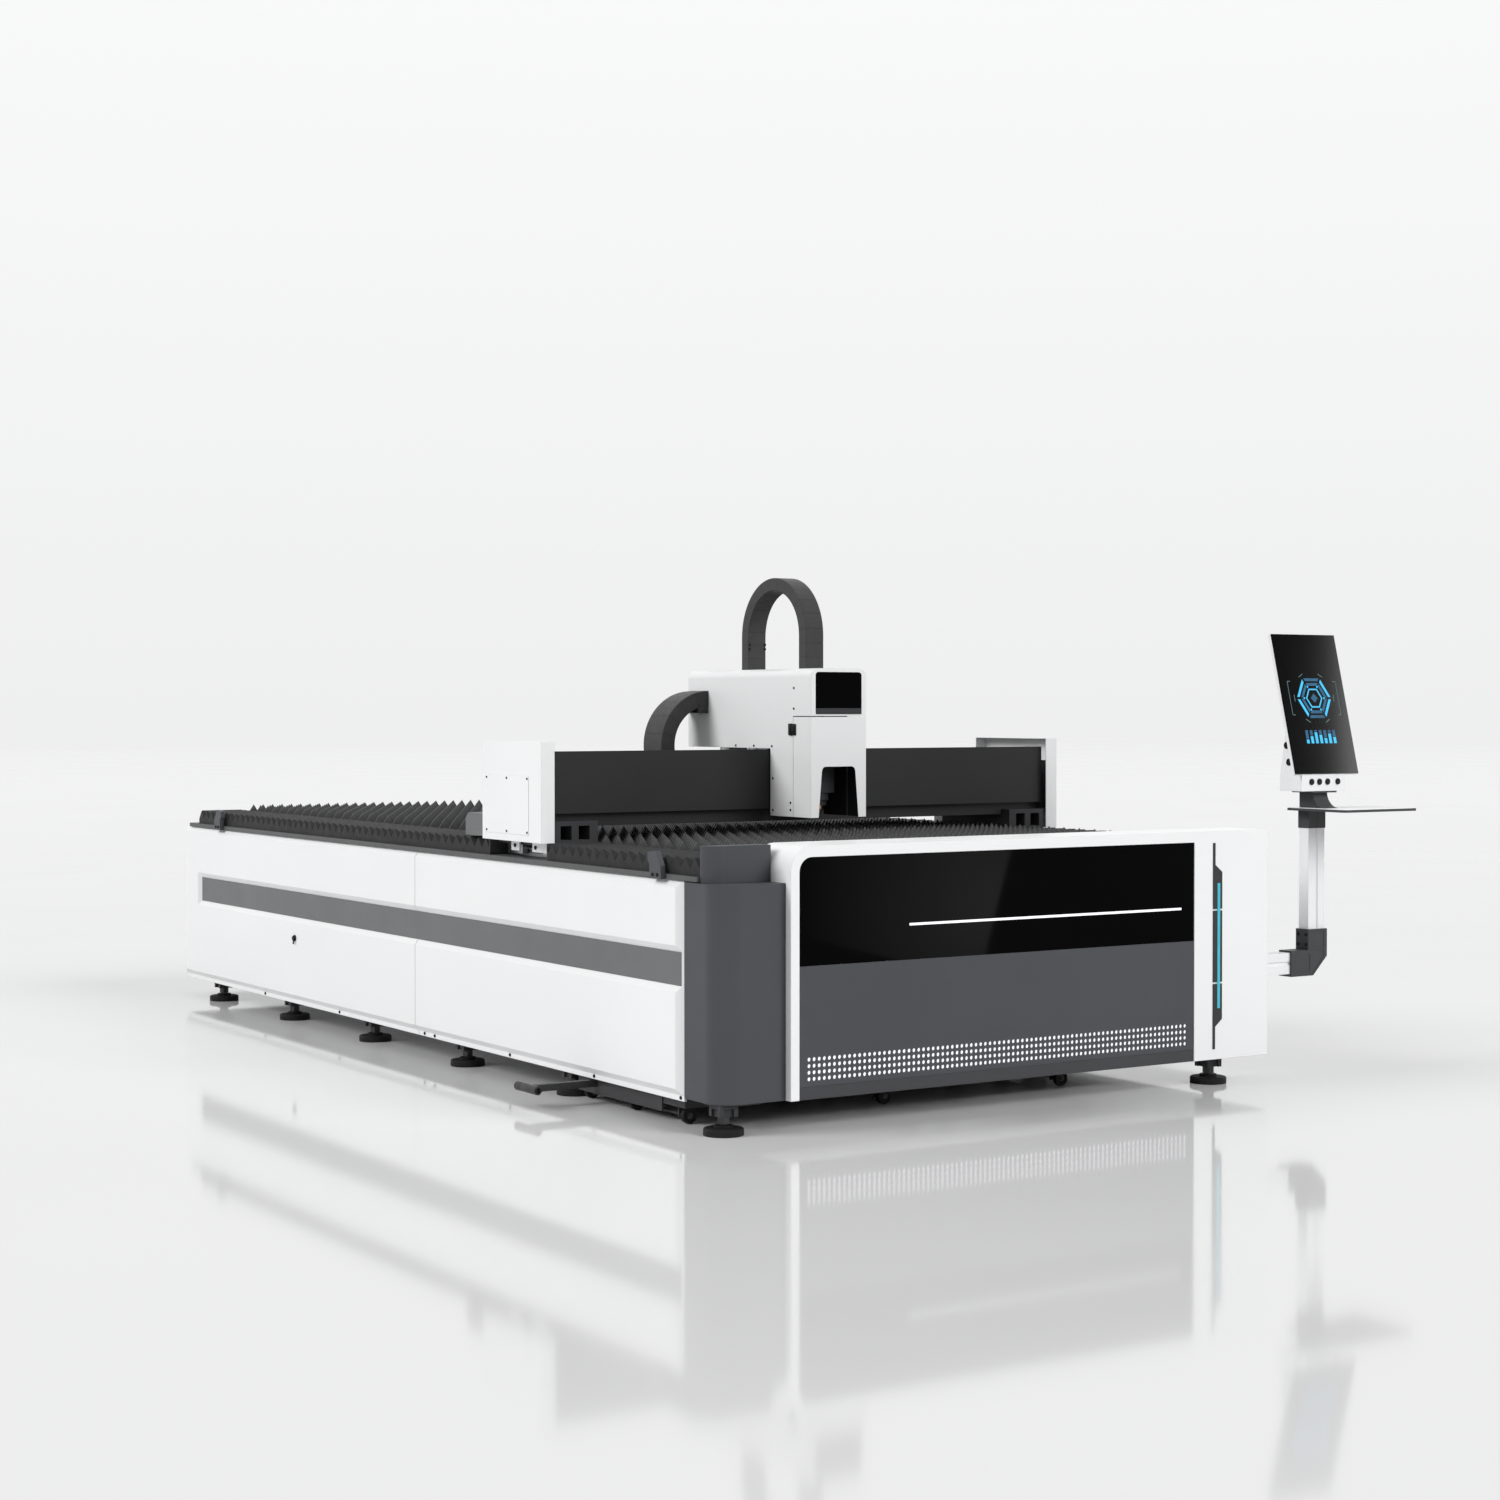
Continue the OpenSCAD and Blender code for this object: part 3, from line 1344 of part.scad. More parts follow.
// Recessed fields on the elbow's front: beside the post, at the corner and beside the arm
module elbow_fields() {
    inset = elbow_wall;
    step = elbow_sill + inset;
    rect([elbow_left + inset, step], [elbow_right - 2 * inset, elbow_top - inset]);
    polygon([[elbow_left + 2 * inset, elbow_low + inset], [elbow_right - elbow_cut, elbow_low + inset],
        [elbow_right - 2 * inset, elbow_low + elbow_cut], [elbow_right - 2 * inset, step - inset],
        [elbow_left + 2 * inset, step - inset]]);
    rect([socket_x + inset, elbow_low + 2 * inset], [elbow_left + inset, elbow_sill - 2 * inset]);
}

module console_post() color(white) {
    difference() {
        box([post_x - post_w / 2, post_y - post_d / 2, elbow_top - post_in + seat],
            [post_x + post_w / 2, post_y + post_d / 2, post_top]);
        translate([post_x, post_y - post_d / 2, elbow_top])
            linear_extrude(post_top - elbow_top + eps) groove();
    }
    translate([post_x, post_y, post_top - eps]) cylinder(d = pin_d, h = pin_l + eps);
}

// Swivel block on the post's pin, with the curved neck that carries the base box
module swivel_head() color(charcoal) {
    core = [post_w / 2 - 9, post_d / 2 + 1];
    difference() {
        box([post_x - post_w / 2 - 1, post_y - post_d / 2 - 4, post_top + seat],
            [post_x + post_w / 2 + 1, post_y + post_d / 2 + 4, swivel_top]);
        translate([post_x, post_y, post_top]) cylinder(r = pin_d / 2 + run_gap, h = pin_l + 2);
        translate([post_x, post_y - post_d / 2 - 4, post_top]) linear_extrude(swivel_h + eps)
            scale(0.3) groove();
    }
    box([post_x - core.x, post_y - core.y, swivel_top - eps],
        [post_x + core.x, post_y + core.y, shelf_top + 2]);
    along_x(post_x - post_w / 2 + 4, post_w - 8) difference() {
        rect([post_y - neck_reach, shelf_top + seat], [post_y + post_d / 2 + 3, base_z - 4]);
        translate([post_y - neck_reach, base_z - 2]) circle(neck_r);
    }
    box([post_x - neck_plate / 2, base_y + 3, base_z - 6],
        [post_x + neck_plate / 2, base_y + base_d - 4, base_z]);
}

module keyboard_tray() color("gainsboro") difference() {
    low = [post_x - shelf_left, shelf_front];
    high = [shelf_right, post_y + shelf_back];
    translate([0, 0, shelf_top - shelf_rim]) linear_extrude(shelf_rim) round_outline(low, high, shelf_r);
    // Folded rim all round, left off where the swivel block stands
    translate([0, 0, shelf_top - shelf_rim - eps]) linear_extrude(shelf_rim - shelf_t + eps)
        round_outline(low + [shelf_edge, shelf_edge], high - [shelf_edge, shelf_edge],
            shelf_r - shelf_edge);
    box([post_x - post_w / 2 + 9 - seat, post_y - post_d / 2 - 1 - seat, 0],
        [post_x + post_w / 2 - 9 + seat, post_y + post_d / 2 + 1 + seat, shelf_top + eps]);
}

// Side view of the slab: first axis through its thickness, second along its length
module leaning() translate([slab_y, slab_z]) rotate(-lean) children();

module console_housing() color(white) {
    base_mid = post_x - base_left;
    difference() {
        box([base_mid - base_w / 2, base_y, base_z], [base_mid + base_w / 2, base_y + base_d, slab_z]);
        for (x = button_xs) translate([post_x + x, base_y - eps, button_z]) rotate([-90, 0, 0])
            cylinder(d = button_d + 2 * seat, h = button_l - button_out + button_travel + 2 + eps);
    }
    wedge = [slab_y + (glass_t + slab_t) * cos(lean) + wedge_l * sin(lean),
        slab_z - (glass_t + slab_t) * sin(lean) + wedge_l * cos(lean)];
    along_x(base_mid - base_w / 2, base_w) polygon([[base_y + glass_t, slab_z - eps],
        [base_y + base_d, slab_z - eps], wedge + [wedge_top, 0], wedge]);
    along_x(post_x + slab_right - slab_w / 2, slab_w) leaning()
        rect([glass_t, 0], [glass_t + slab_t, slab_l]);
}

module screen() color(black) along_x(post_x + slab_right - slab_w / 2 + slab_rim, slab_w - 2 * slab_rim)
    leaning() rect([0, slab_rim], [glass_t, slab_l - slab_rim]);

module push_button(i) color(black) translate([post_x + button_xs[i], base_y - button_out, button_z])
    rotate([-90, 0, 0]) {
        cylinder(d = button_d - 3, h = button_l);
        translate([0, 0, 1.5]) cylinder(d = button_d, h = button_l - 1.5);
    }

// Scrap cart
module cart_pan() color("gray") {
    difference() {
        box([cart_x, cart_y, cart_low], [cart_x + cart_l, cart_y + cart_w, cart_top]);
        box([cart_x + cart_t, cart_y + cart_t, cart_low + cart_t],
            [cart_x + cart_l - cart_t, cart_y + cart_w - cart_t, cart_top + eps]);
    }
    box([apron_x, apron_y, apron_z], [cart_x + eps, cart_y + cart_w, cart_top]);
    // Axle hangers
    for (x = axle_xs, y = hanger_ys) difference() {
        box([x - hanger_w / 2, y - hanger_t / 2, wheel_r - axle_d],
            [x + hanger_w / 2, y + hanger_t / 2, cart_low + eps]);
        translate([x, y - hanger_t / 2 - eps, wheel_r]) rotate([-90, 0, 0])
            cylinder(r = axle_d / 2 + run_gap, h = hanger_t + 2 * eps);
    }
}

module cart_handle() color("gainsboro") {
    box([grip_x, draw_y - draw_w / 2, cart_top - 2 - draw_h], [apron_x, draw_y + draw_w / 2, cart_top - 2]);
    translate([grip_x, draw_y - grip_l / 2, grip_z]) rotate([-90, 0, 0]) difference() {
        cylinder(d = grip_d, h = grip_l);
        for (z = [-eps, grip_l - grip_hollow]) translate([0, 0, z])
            cylinder(d = grip_d - 2 * grip_wall, h = grip_hollow + eps);
    }
}

module wheelset(i) color(charcoal) translate([axle_xs[i], 0, wheel_r]) rotate([-90, 0, 0]) {
    translate([0, 0, wheel_ys[0] - 14]) cylinder(d = axle_d, h = wheel_ys[2] - wheel_ys[0] + 28);
    for (y = wheel_ys) translate([0, 0, y - wheel_w / 2]) difference() {
        cylinder(d = wheel_d, h = wheel_w);
        for (z = [-eps, wheel_w - 3]) translate([0, 0, z]) difference() {
            cylinder(d = wheel_d - 14, h = 3 + eps);
            cylinder(d = axle_d + 10, h = 3 + eps);
        }
    }
}

placed() bed_frame();
placed() levelling_feet();
placed() side_panels_left();
placed() side_panels_right();
placed() accent_strips();
placed() rear_panel();
placed() corner_post();
placed() corner_cap();
placed() front_frame();
placed() window_panel();
placed() light_bar();
placed() vent_panel();
placed() kick_plate();
placed() accent_trim();
placed() accent_led();
placed() rail_bases();
placed() linear_rails();
placed() gear_racks();
placed() stop_brackets();
placed() bellows_front();
placed() bellows_rear();
placed() slat_racks();
placed() slats();
placed() panel_lock();
placed() console_arm();
placed() console_elbow();
placed() console_post();
placed() beam();
placed() beam_cover();
placed() trucks();
placed() bearing_blocks();
placed() end_boxes();
placed() access_covers();
placed() drive_guards();
placed() beam_rails();
placed() chain_tray();
placed() chain_run();
placed() saddle();
placed() saddle_blocks();
placed() head_cover();
placed() head_window();
placed() z_chain();
placed() x_chain();
placed() door_hinges();
placed() cutting_head();
placed() nozzle();
placed() head_door();
placed() swivel_head();
placed() keyboard_tray();
placed() console_housing();
placed() screen();
placed() push_button(0);  // button_1
placed() push_button(1);  // button_2
placed() push_button(2);  // button_3
placed() push_button(3);  // button_4
placed() cart_pan();
placed() cart_handle();
placed() wheelset(0);  // wheelset_left
placed() wheelset(1);  // wheelset_middle
placed() wheelset(2);  // wheelset_right
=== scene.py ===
"""Looks of a flatbed fiber laser cutting machine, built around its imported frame.

Metres, +Z up. The cabinet faces -Y, and the scrap cart rolls out towards -X.
"""

import math

import bmesh
import bpy
from mathutils import Matrix, Vector


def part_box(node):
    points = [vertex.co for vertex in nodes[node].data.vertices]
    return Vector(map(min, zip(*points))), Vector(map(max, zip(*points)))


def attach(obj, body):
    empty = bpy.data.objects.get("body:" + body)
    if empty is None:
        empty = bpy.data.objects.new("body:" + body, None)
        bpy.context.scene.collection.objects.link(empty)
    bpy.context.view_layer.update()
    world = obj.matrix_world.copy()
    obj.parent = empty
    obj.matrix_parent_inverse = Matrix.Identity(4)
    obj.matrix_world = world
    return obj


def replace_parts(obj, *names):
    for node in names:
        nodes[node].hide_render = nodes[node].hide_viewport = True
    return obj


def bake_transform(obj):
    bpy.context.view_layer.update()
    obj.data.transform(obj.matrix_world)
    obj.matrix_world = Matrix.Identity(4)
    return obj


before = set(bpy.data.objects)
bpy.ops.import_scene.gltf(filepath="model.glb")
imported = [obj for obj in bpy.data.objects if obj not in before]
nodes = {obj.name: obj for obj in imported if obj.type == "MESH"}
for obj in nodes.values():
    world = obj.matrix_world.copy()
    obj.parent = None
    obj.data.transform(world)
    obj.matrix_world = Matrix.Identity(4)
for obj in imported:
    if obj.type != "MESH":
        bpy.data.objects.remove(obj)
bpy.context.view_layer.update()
scene = bpy.context.scene

X, Y, Z = Vector((1, 0, 0)), Vector((0, 1, 0)), Vector((0, 0, 1))
LEFT, RIGHT, FRONT = -X, X, -Y


def low(node):
    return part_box(node)[0]


def high(node):
    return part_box(node)[1]


BED_MID_X = (low("bed_frame").x + high("bed_frame").x) / 2


def other_side(point):
    """The same place on the bed's other side."""
    return Vector((2 * BED_MID_X - point.x, point.y, point.z))


# Camera, at the photograph's place and angle
CAMERA_PLACE = (-5.2645, -8.5946, 1.280)
CAMERA_PITCH = math.radians(89.075)
CAMERA_YAW = math.radians(-32.549)
CAMERA_LENS = 60.684
CAMERA_SENSOR_W = 36.0
CAMERA_FAR = 200.0


def make_camera():
    data = bpy.data.cameras.new("camera")
    data.lens = CAMERA_LENS
    data.sensor_width = CAMERA_SENSOR_W
    data.clip_end = CAMERA_FAR
    camera = bpy.data.objects.new("camera", data)
    camera.location = CAMERA_PLACE
    camera.rotation_euler = (CAMERA_PITCH, 0.0, CAMERA_YAW)
    scene.collection.objects.link(camera)
    scene.camera = camera


# Materials: the range that most of a texture lies in
TEXTURE_RANGE = (0.3, 0.7)


class Finish:
    """A material with one Principled surface, and short ways to steer it by textures."""

    def __init__(self, name, colour, rough, metal=0.0, gloss=0.5):
        self.material = bpy.data.materials.new(name)
        self.material.use_nodes = True
        self.tree = self.material.node_tree
        self.surface = self.tree.nodes["Principled BSDF"]
        self.colour = colour
        self.rough = rough
        self.set("Metallic", metal)
        self.set("Specular IOR Level", gloss)

    def set(self, socket, value):
        self.surface.inputs[socket].default_value = value

    def add(self, kind, **inputs):
        made = self.tree.nodes.new(kind)
        for socket, value in inputs.items():
            made.inputs[socket.replace("_", " ")].default_value = value
        return made

    def link(self, output, target):
        self.tree.links.new(output, target)

    def place(self, stretch):
        """The piece's own coordinates; a larger stretch packs a texture closer along that axis."""
        coordinates = self.add("ShaderNodeTexCoord")
        mapping = self.add("ShaderNodeMapping", Scale=stretch)
        self.link(coordinates.outputs["Object"], mapping.inputs["Vector"])
        return mapping.outputs["Vector"]

    def noise(self, scale, detail=3.0, stretch=(1.0, 1.0, 1.0)):
        texture = self.add("ShaderNodeTexNoise", Scale=scale, Detail=detail)
        self.link(self.place(stretch), texture.inputs["Vector"])
        return texture.outputs["Fac"]

    def weave(self, scale):
        """Threads that cross along the piece's first two axes."""
        waves = []
        for axis in ("X", "Y"):
            wave = self.add("ShaderNodeTexWave", Scale=scale, Distortion=0.4)
            wave.bands_direction = axis
            self.link(self.place((1.0, 1.0, 1.0)), wave.inputs["Vector"])
            waves.append(wave.outputs["Fac"])
        return self.times(*waves)

    def height(self, start):
        """Share of the piece's height, from 0 at that start to 1 at its top."""
        coordinates = self.add("ShaderNodeTexCoord")
        axes = self.add("ShaderNodeSeparateXYZ")
        span = self.add("ShaderNodeMapRange", From_Min=start, From_Max=1.0)
        self.link(coordinates.outputs["Generated"], axes.inputs["Vector"])
        self.link(axes.outputs["Z"], span.inputs["Value"])
        return span.outputs["Result"]

    def between(self, value, bottom, top):
        """A texture's middle range, turned into numbers from bottom to top."""
        span = self.add("ShaderNodeMapRange", To_Min=bottom, To_Max=top)
        span.inputs["From Min"].default_value, span.inputs["From Max"].default_value = TEXTURE_RANGE
        self.link(value, span.inputs["Value"])
        return span.outputs["Result"]

    def tint(self, value, first, second):
        """Colour between two, where a value runs from 0 to 1."""
        mix = self.add("ShaderNodeMix")
        mix.data_type = "RGBA"
        mix.inputs[6].default_value = (*first, 1.0)
        mix.inputs[7].default_value = (*second, 1.0)
        self.link(value, mix.inputs[0])
        self.link(mix.outputs[2], self.surface.inputs["Base Color"])

    def mottle(self, value, spread):
        """Colour that drifts by spread round its own value."""
        shades = [[channel * (1 + sign * spread) for channel in self.colour] for sign in (-1, 1)]
        self.tint(self.between(value, 0.0, 1.0), *shades)

    def times(self, first, second):
        product = self.add("ShaderNodeMath")
        product.operation = "MULTIPLY"
        self.link(first, product.inputs[0])
        self.link(second, product.inputs[1])
        return product.outputs["Value"]

    def polish(self, value, spread):
        """Roughness that drifts by spread round its own value."""
        drift = self.between(value, self.rough - spread, self.rough + spread)
        self.link(drift, self.surface.inputs["Roughness"])

    def grain(self, value, depth, edge=0.0):
        """Surface relief of that depth, over edges rounded by that radius."""
        bump = self.add("ShaderNodeBump", Strength=1.0, Distance=depth)
        self.link(value, bump.inputs["Height"])
        if edge:
            bevel = self.add("ShaderNodeBevel", Radius=edge)
            bevel.samples = 4
            self.link(bevel.outputs["Normal"], bump.inputs["Normal"])
        self.link(bump.outputs["Normal"], self.surface.inputs["Normal"])


def paint(name, colour, rough=0.4, spread=0.03, edge=0.002, gloss=0.25):
    """Powder coat: faint drifts of tone and gloss, orange peel and softly rounded sheet edges."""
    made = Finish(name, colour, rough, gloss=gloss)
    made.mottle(made.noise(1.7), spread)
    made.polish(made.noise(7.0, 4.0), 0.05)
    made.grain(made.noise(480.0, 2.0), 0.00003, edge)
    return made.material


def steel(name, colour, rough, lay, metal=0.9, spread=0.16):
    """Ground or rolled metal with fine scratches along its lay."""
    made = Finish(name, colour, rough, metal=metal)
    made.mottle(made.noise(9.0, 5.0), spread)
    scratches = made.noise(60.0, 4.0, lay)
    made.polish(scratches, 0.1)
    made.grain(scratches, 0.00004, 0.0008)
    return made.material


def dark_to_bright_steel(name, dark, bright, start):
    """Slat steel: darker below, and brighter towards the tips from that share of its height on."""
    made = Finish(name, bright, 0.5, metal=0.25)
    brighter_up = made.times(made.height(start), made.between(made.noise(35.0, 4.0), 0.75, 1.0))
    made.tint(brighter_up, dark, bright)
    scratches = made.noise(60.0, 4.0, (0.05, 1.0, 1.0))
    made.polish(scratches, 0.1)
    made.grain(scratches, 0.00004)
    return made.material


def plastic(name, colour, rough):
    """Moulded plastic or rubber with a fine grain."""
    made = Finish(name, colour, rough, gloss=0.25)
    made.mottle(made.noise(22.0), 0.05)
    made.polish(made.noise(60.0), 0.06)
    made.grain(made.noise(900.0, 2.0), 0.00006, 0.001)
    return made.material


def coated_cloth(name, colour):
    """Coated bellows cloth: threads show through a dull coat, with paler dust in patches."""
    made = Finish(name, colour, 0.62, gloss=0.25)
    made.mottle(made.noise(14.0, 5.0), 0.09)
    made.polish(made.noise(40.0), 0.08)
    made.grain(made.weave(260.0), 0.00006)
    made.set("Sheen Weight", 0.06)
    return made.material


def dark_glass(name, colour, rough, gloss):
    """Back-painted glass with the slightest unevenness."""
    made = Finish(name, colour, rough, gloss=gloss)
    made.mottle(made.noise(3.0), 0.2)
    made.polish(made.noise(5.0), 0.008)
    made.grain(made.noise(2.2, 1.0), 0.0002)
    return made.material


def glow(name, colour, strength, spread=0.08):
    """A lit surface behind a diffuser, with faint unevenness along it."""
    made = Finish(name, [channel * 0.3 for channel in colour], 0.35)
    made.mottle(made.noise(30.0), spread)
    made.polish(made.noise(60.0), 0.05)
    made.set("Emission Color", (*colour, 1.0))
    light = made.between(made.noise(25.0), strength * (1 - spread), strength * (1 + spread))
    made.link(light, made.surface.inputs["Emission Strength"])
    return made.material


WHITE = paint("white_paint", (0.84, 0.845, 0.85), 0.36, 0.012, 0.0025, 0.4)
GREY = paint("cabinet_grey", (0.066, 0.068, 0.075), 0.42, 0.05)
STRIP = paint("strip_grey", (0.145, 0.147, 0.151), 0.45, 0.04)
FRAME_PAINT = paint("frame_paint", (0.04, 0.041, 0.043), 0.5, 0.08)
CHARCOAL = paint("charcoal_paint", (0.026, 0.026, 0.027), 0.42, 0.07, gloss=0.2)
KICK = paint("kick_grey", (0.055, 0.056, 0.06), 0.45, 0.05)
LEDGE = paint("ledge_grey", (0.095, 0.096, 0.098), 0.45, 0.06)
TRIM = paint("trim_grey", (0.035, 0.036, 0.039), 0.4, 0.05, 0.0008)
CONSOLE = paint("console_white", (0.82, 0.825, 0.835), 0.38, 0.012, 0.0015, 0.4)
CART = paint("cart_grey", (0.04, 0.04, 0.042), 0.48, 0.08, 0.001)
BLACK_GLASS = dark_glass("black_glass", (0.0006, 0.0006, 0.0007), 0.04, 0.03)
SCREEN_GLASS = dark_glass("screen_glass", (0.0006, 0.0006, 0.0008), 0.2, 0.03)
# The white light also glows as painted light on the front frame's backing behind the vent panel's holes
LIGHT = glow("white_light", (0.95, 0.96, 1.0), 0.95, 0.03)
CYAN = glow("cyan_light", (0.055, 0.50, 0.62), 0.66)
BRIGHT = glow("graphic_bright", (0.05, 0.47, 0.78), 0.95)
DEEP = glow("graphic_deep", (0.012, 0.10, 0.20), 0.8, 0.25)
FAINT = glow("graphic_faint", (0.10, 0.19, 0.20), 0.6, 0.2)
RAIL = steel("rail_steel", (0.45, 0.46, 0.47), 0.32, (1.0, 0.02, 1.0))
BEAM_RAIL = steel("beam_rail_steel", (0.45, 0.46, 0.47), 0.32, (0.02, 1.0, 1.0))
SLAT = dark_to_bright_steel("slat_steel", (0.028, 0.028, 0.029), (0.13, 0.131, 0.134), 0.5)
CASTING = plastic("cast_grey", (0.057, 0.058, 0.061), 0.5)
DARK_STEEL = steel("dark_steel", (0.06, 0.06, 0.062), 0.5, (1.0, 1.0, 0.1), 0.6)
# Also paints the insides of the head's cover and door dark, as painted shade
HEAD_DARK = plastic("anodised_dark_and_painted_shade", (0.036, 0.037, 0.04), 0.4)
COPPER = steel("copper", (0.46, 0.27, 0.17), 0.3, (1.0, 1.0, 0.1), 1.0, 0.08)
CLOTH = coated_cloth("bellows_cloth", (0.020, 0.020, 0.021))
CHAIN = plastic("chain_plastic", (0.045, 0.045, 0.046), 0.45)
BLACK = plastic("black_plastic", (0.010, 0.010, 0.011), 0.42)
RUBBER = plastic("rubber", (0.010, 0.010, 0.0105), 0.62)

NODE_FINISH = {
    WHITE: ("side_panels_left", "side_panels_right", "rear_panel", "front_frame", "end_boxes",
            "access_covers", "head_cover", "head_door"),
    GREY: ("corner_post", "corner_cap", "vent_panel", "stop_brackets"),
    STRIP: ("accent_strips", "drive_guards"),
    FRAME_PAINT: ("bed_frame", "slat_racks", "trucks"),
    CHARCOAL: ("beam", "beam_cover", "chain_tray"),
    KICK: ("kick_plate",),
    LEDGE: ("rail_bases",),
    TRIM: ("accent_trim",),
    CONSOLE: ("console_arm", "console_post", "console_housing"),
    CART: ("cart_pan",),
    BLACK_GLASS: ("window_panel", "head_window"),
    SCREEN_GLASS: ("screen",),
    LIGHT: ("light_bar",),
    CYAN: ("accent_led",),
    RAIL: ("linear_rails", "gear_racks", "bearing_blocks"),
    BEAM_RAIL: ("beam_rails", "saddle_blocks"),
    SLAT: ("slats",),
    DARK_STEEL: ("cart_handle",),
    CASTING: ("console_elbow", "swivel_head", "keyboard_tray"),
    HEAD_DARK: ("saddle", "cutting_head"),
    COPPER: ("nozzle",),
    BLACK: ("panel_lock", "door_hinges", "button_1", "button_2", "button_3", "button_4"),
    RUBBER: ("levelling_feet", "wheelset_left", "wheelset_middle", "wheelset_right"),
}

for finish, names in NODE_FINISH.items():
    for name in names:
        nodes[name].data.materials.clear()
        nodes[name].data.materials.append(finish)


def paint_faces(node, material, chosen):
    """Gives another material to the chosen faces of a node."""
    mesh = nodes[node].data
    mesh.materials.append(material)
    for face in mesh.polygons:
        if chosen(face):
            face.material_index = len(mesh.materials) - 1


# Metal stems over the feet's pads, and metal axles and hubs in the cart's wheels
PAD_TOP = 0.0305
HUB_R = 0.0102
paint_faces("levelling_feet", DARK_STEEL, lambda face: face.center.z > PAD_TOP)
for name in ("wheelset_left", "wheelset_middle", "wheelset_right"):
    axle = (low(name) + high(name)) / 2
    paint_faces(name, DARK_STEEL, lambda face: (face.center - axle).xz.length < HUB_R)

# Pale top of the keyboard tray
TRAY_SKIN = 0.0005
tray_top = high("keyboard_tray").z - TRAY_SKIN
paint_faces("keyboard_tray", CONSOLE, lambda face: face.center.z > tray_top)

# Inside of the head's cover and door painted dark as shade: the faces that look towards their middle
head_middle = (low("head_cover") + high("head_cover")) / 2
for name in ("head_cover", "head_door"):
    paint_faces(name, HEAD_DARK, lambda face: face.normal.dot(head_middle - face.center) > 0)

# Backing behind the vent panel's holes, given the white light's glow as painted light though no lamp lights
# it: how close it lies, and the least share by which it faces front
BACKING_GAP = 0.004
BACKING_FACES = 0.9
vent_low, vent_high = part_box("vent_panel")


def is_glow_painted_backing(face):
    behind = 0 < face.center.y - vent_high.y < BACKING_GAP
    return behind and vent_low.x < face.center.x < vent_high.x and face.normal.dot(FRONT) > BACKING_FACES


# Painted glow on the backing faces, standing in for light showing through the holes
paint_faces("front_frame", LIGHT, is_glow_painted_backing)


# Mesh helpers: the angle from which an edge stays sharp
SHARP_ANGLE = math.radians(30)


def piece(name, bm, material, body):
    """A finished object from a bmesh, riding a body if one is named."""
    bmesh.ops.recalc_face_normals(bm, faces=bm.faces[:])
    mesh = bpy.data.meshes.new(name)
    bm.to_mesh(mesh)
    bm.free()
    mesh.shade_smooth()
    mesh.set_sharp_from_angle(angle=SHARP_ANGLE)
    mesh.materials.append(material)
    made = bpy.data.objects.new(name, mesh)
    scene.collection.objects.link(made)
    if body:
        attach(made, body)
    return made


def add_loft(bm, rings):
    """Closed solid through rings of points, each ring with as many points as the next."""
    loops = [[bm.verts.new(point) for point in ring] for ring in rings]
    count = len(loops[0])
    for near, far in zip(loops, loops[1:]):
        for k in range(count):
            bm.faces.new((near[k], near[(k + 1) % count], far[(k + 1) % count], far[k]))
    bm.faces.new(loops[0])
    bm.faces.new(loops[-1])


def add_block(bm, lowest, highest, rounding):
    """Box with rounded edges."""
    verts = bmesh.ops.create_cube(bm, size=1.0)["verts"]
    middle, size = (lowest + highest) / 2, highest - lowest
    for vert in verts:
        vert.co = middle + Vector([a * b for a, b in zip(vert.co, size)])
    edges = list(dict.fromkeys(edge for vert in verts for edge in vert.link_edges))
    bmesh.ops.bevel(bm, geom=edges, offset=rounding, segments=2, profile=0.5, affect="EDGES")


def add_turned(bm, spot, facing, profile, sides=12):
    """Turned form on a spot; each row of the profile is a radius, a rise and whether it is a hexagon."""
    place = Matrix.Translation(spot) @ Z.rotation_difference(facing).to_matrix().to_4x4()
    rings = []
    for radius, rise, hexagon in profile:
        flat = math.cos(math.pi / 6) if hexagon else 1.0
        reach = [radius * (flat if k % 2 else 1.0) for k in range(sides)]
        angles = [k * math.tau / sides for k in range(sides)]
        ring = [Vector((r * math.cos(a), r * math.sin(a), rise)) for r, a in zip(reach, angles)]
        rings.append([place @ point for point in ring])
    add_loft(bm, rings)


# Fasteners: a socket screw, in shares of its radius
SCREW_FORM = ((1.0, -0.05, False), (1.0, 0.35, False), (0.85, 0.58, False), (0.62, 0.66, False),
              (0.46, 0.66, True), (0.46, 0.3, True))


def screws(name, body, spots, radius):
    """One piece with a socket screw on each spot; a spot is a place and the way it faces."""
    bm = bmesh.new()
    form = [(share * radius, rise * radius, hexagon) for share, rise, hexagon in SCREW_FORM]
    for place, facing in spots:
        add_turned(bm, place, facing, form)
    piece(name, bm, BLACK, body)


def both_sides(places):
    """Spots on the left side and the same ones on the right side."""
    lefts = [(place, LEFT) for place in places]
    return lefts + [(other_side(place), RIGHT) for place in places]


# Distances of the lip's screws from the panels' front end, and the lip's depth and screw height
LIP_SCREWS = (0.020, 0.566, 1.162, 1.760, 1.845, 2.624, 3.399)
LIP_INSET = 0.016
LIP_SCREW_RISE = 0.010
LIP_SCREW_R = 0.006


def lip_screws():
    corner = low("side_panels_left")
    places = [corner + Vector((LIP_INSET, along, LIP_SCREW_RISE)) for along in LIP_SCREWS]
    screws("lip_screws", "machine", both_sides(places), LIP_SCREW_R)


# Hatch screws: distance from the cover's edges
HATCH_SCREW_IN = 0.009
HATCH_SCREW_R = 0.004


def hatch_screws():
    near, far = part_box("access_covers")
    rows = (near.z + HATCH_SCREW_IN, far.z - HATCH_SCREW_IN)
    columns = (near.y + HATCH_SCREW_IN, (near.y + far.y) / 2, far.y - HATCH_SCREW_IN)
    places = [Vector((near.x, y, z)) for y in columns for z in rows]
    screws("hatch_screws", "bridge", both_sides(places), HATCH_SCREW_R)


# Lug bolts, from the end box's outer lower front corner
LUG_BOLTS = ((0.045, 0.124, 0.016), (0.045, 0.275, 0.018))
LUG_BOLT_R = 0.007


def lug_bolts():
    places = [low("end_boxes") + Vector(offset) for offset in LUG_BOLTS]
    screws("lug_bolts", "bridge", both_sides(places), LUG_BOLT_R)


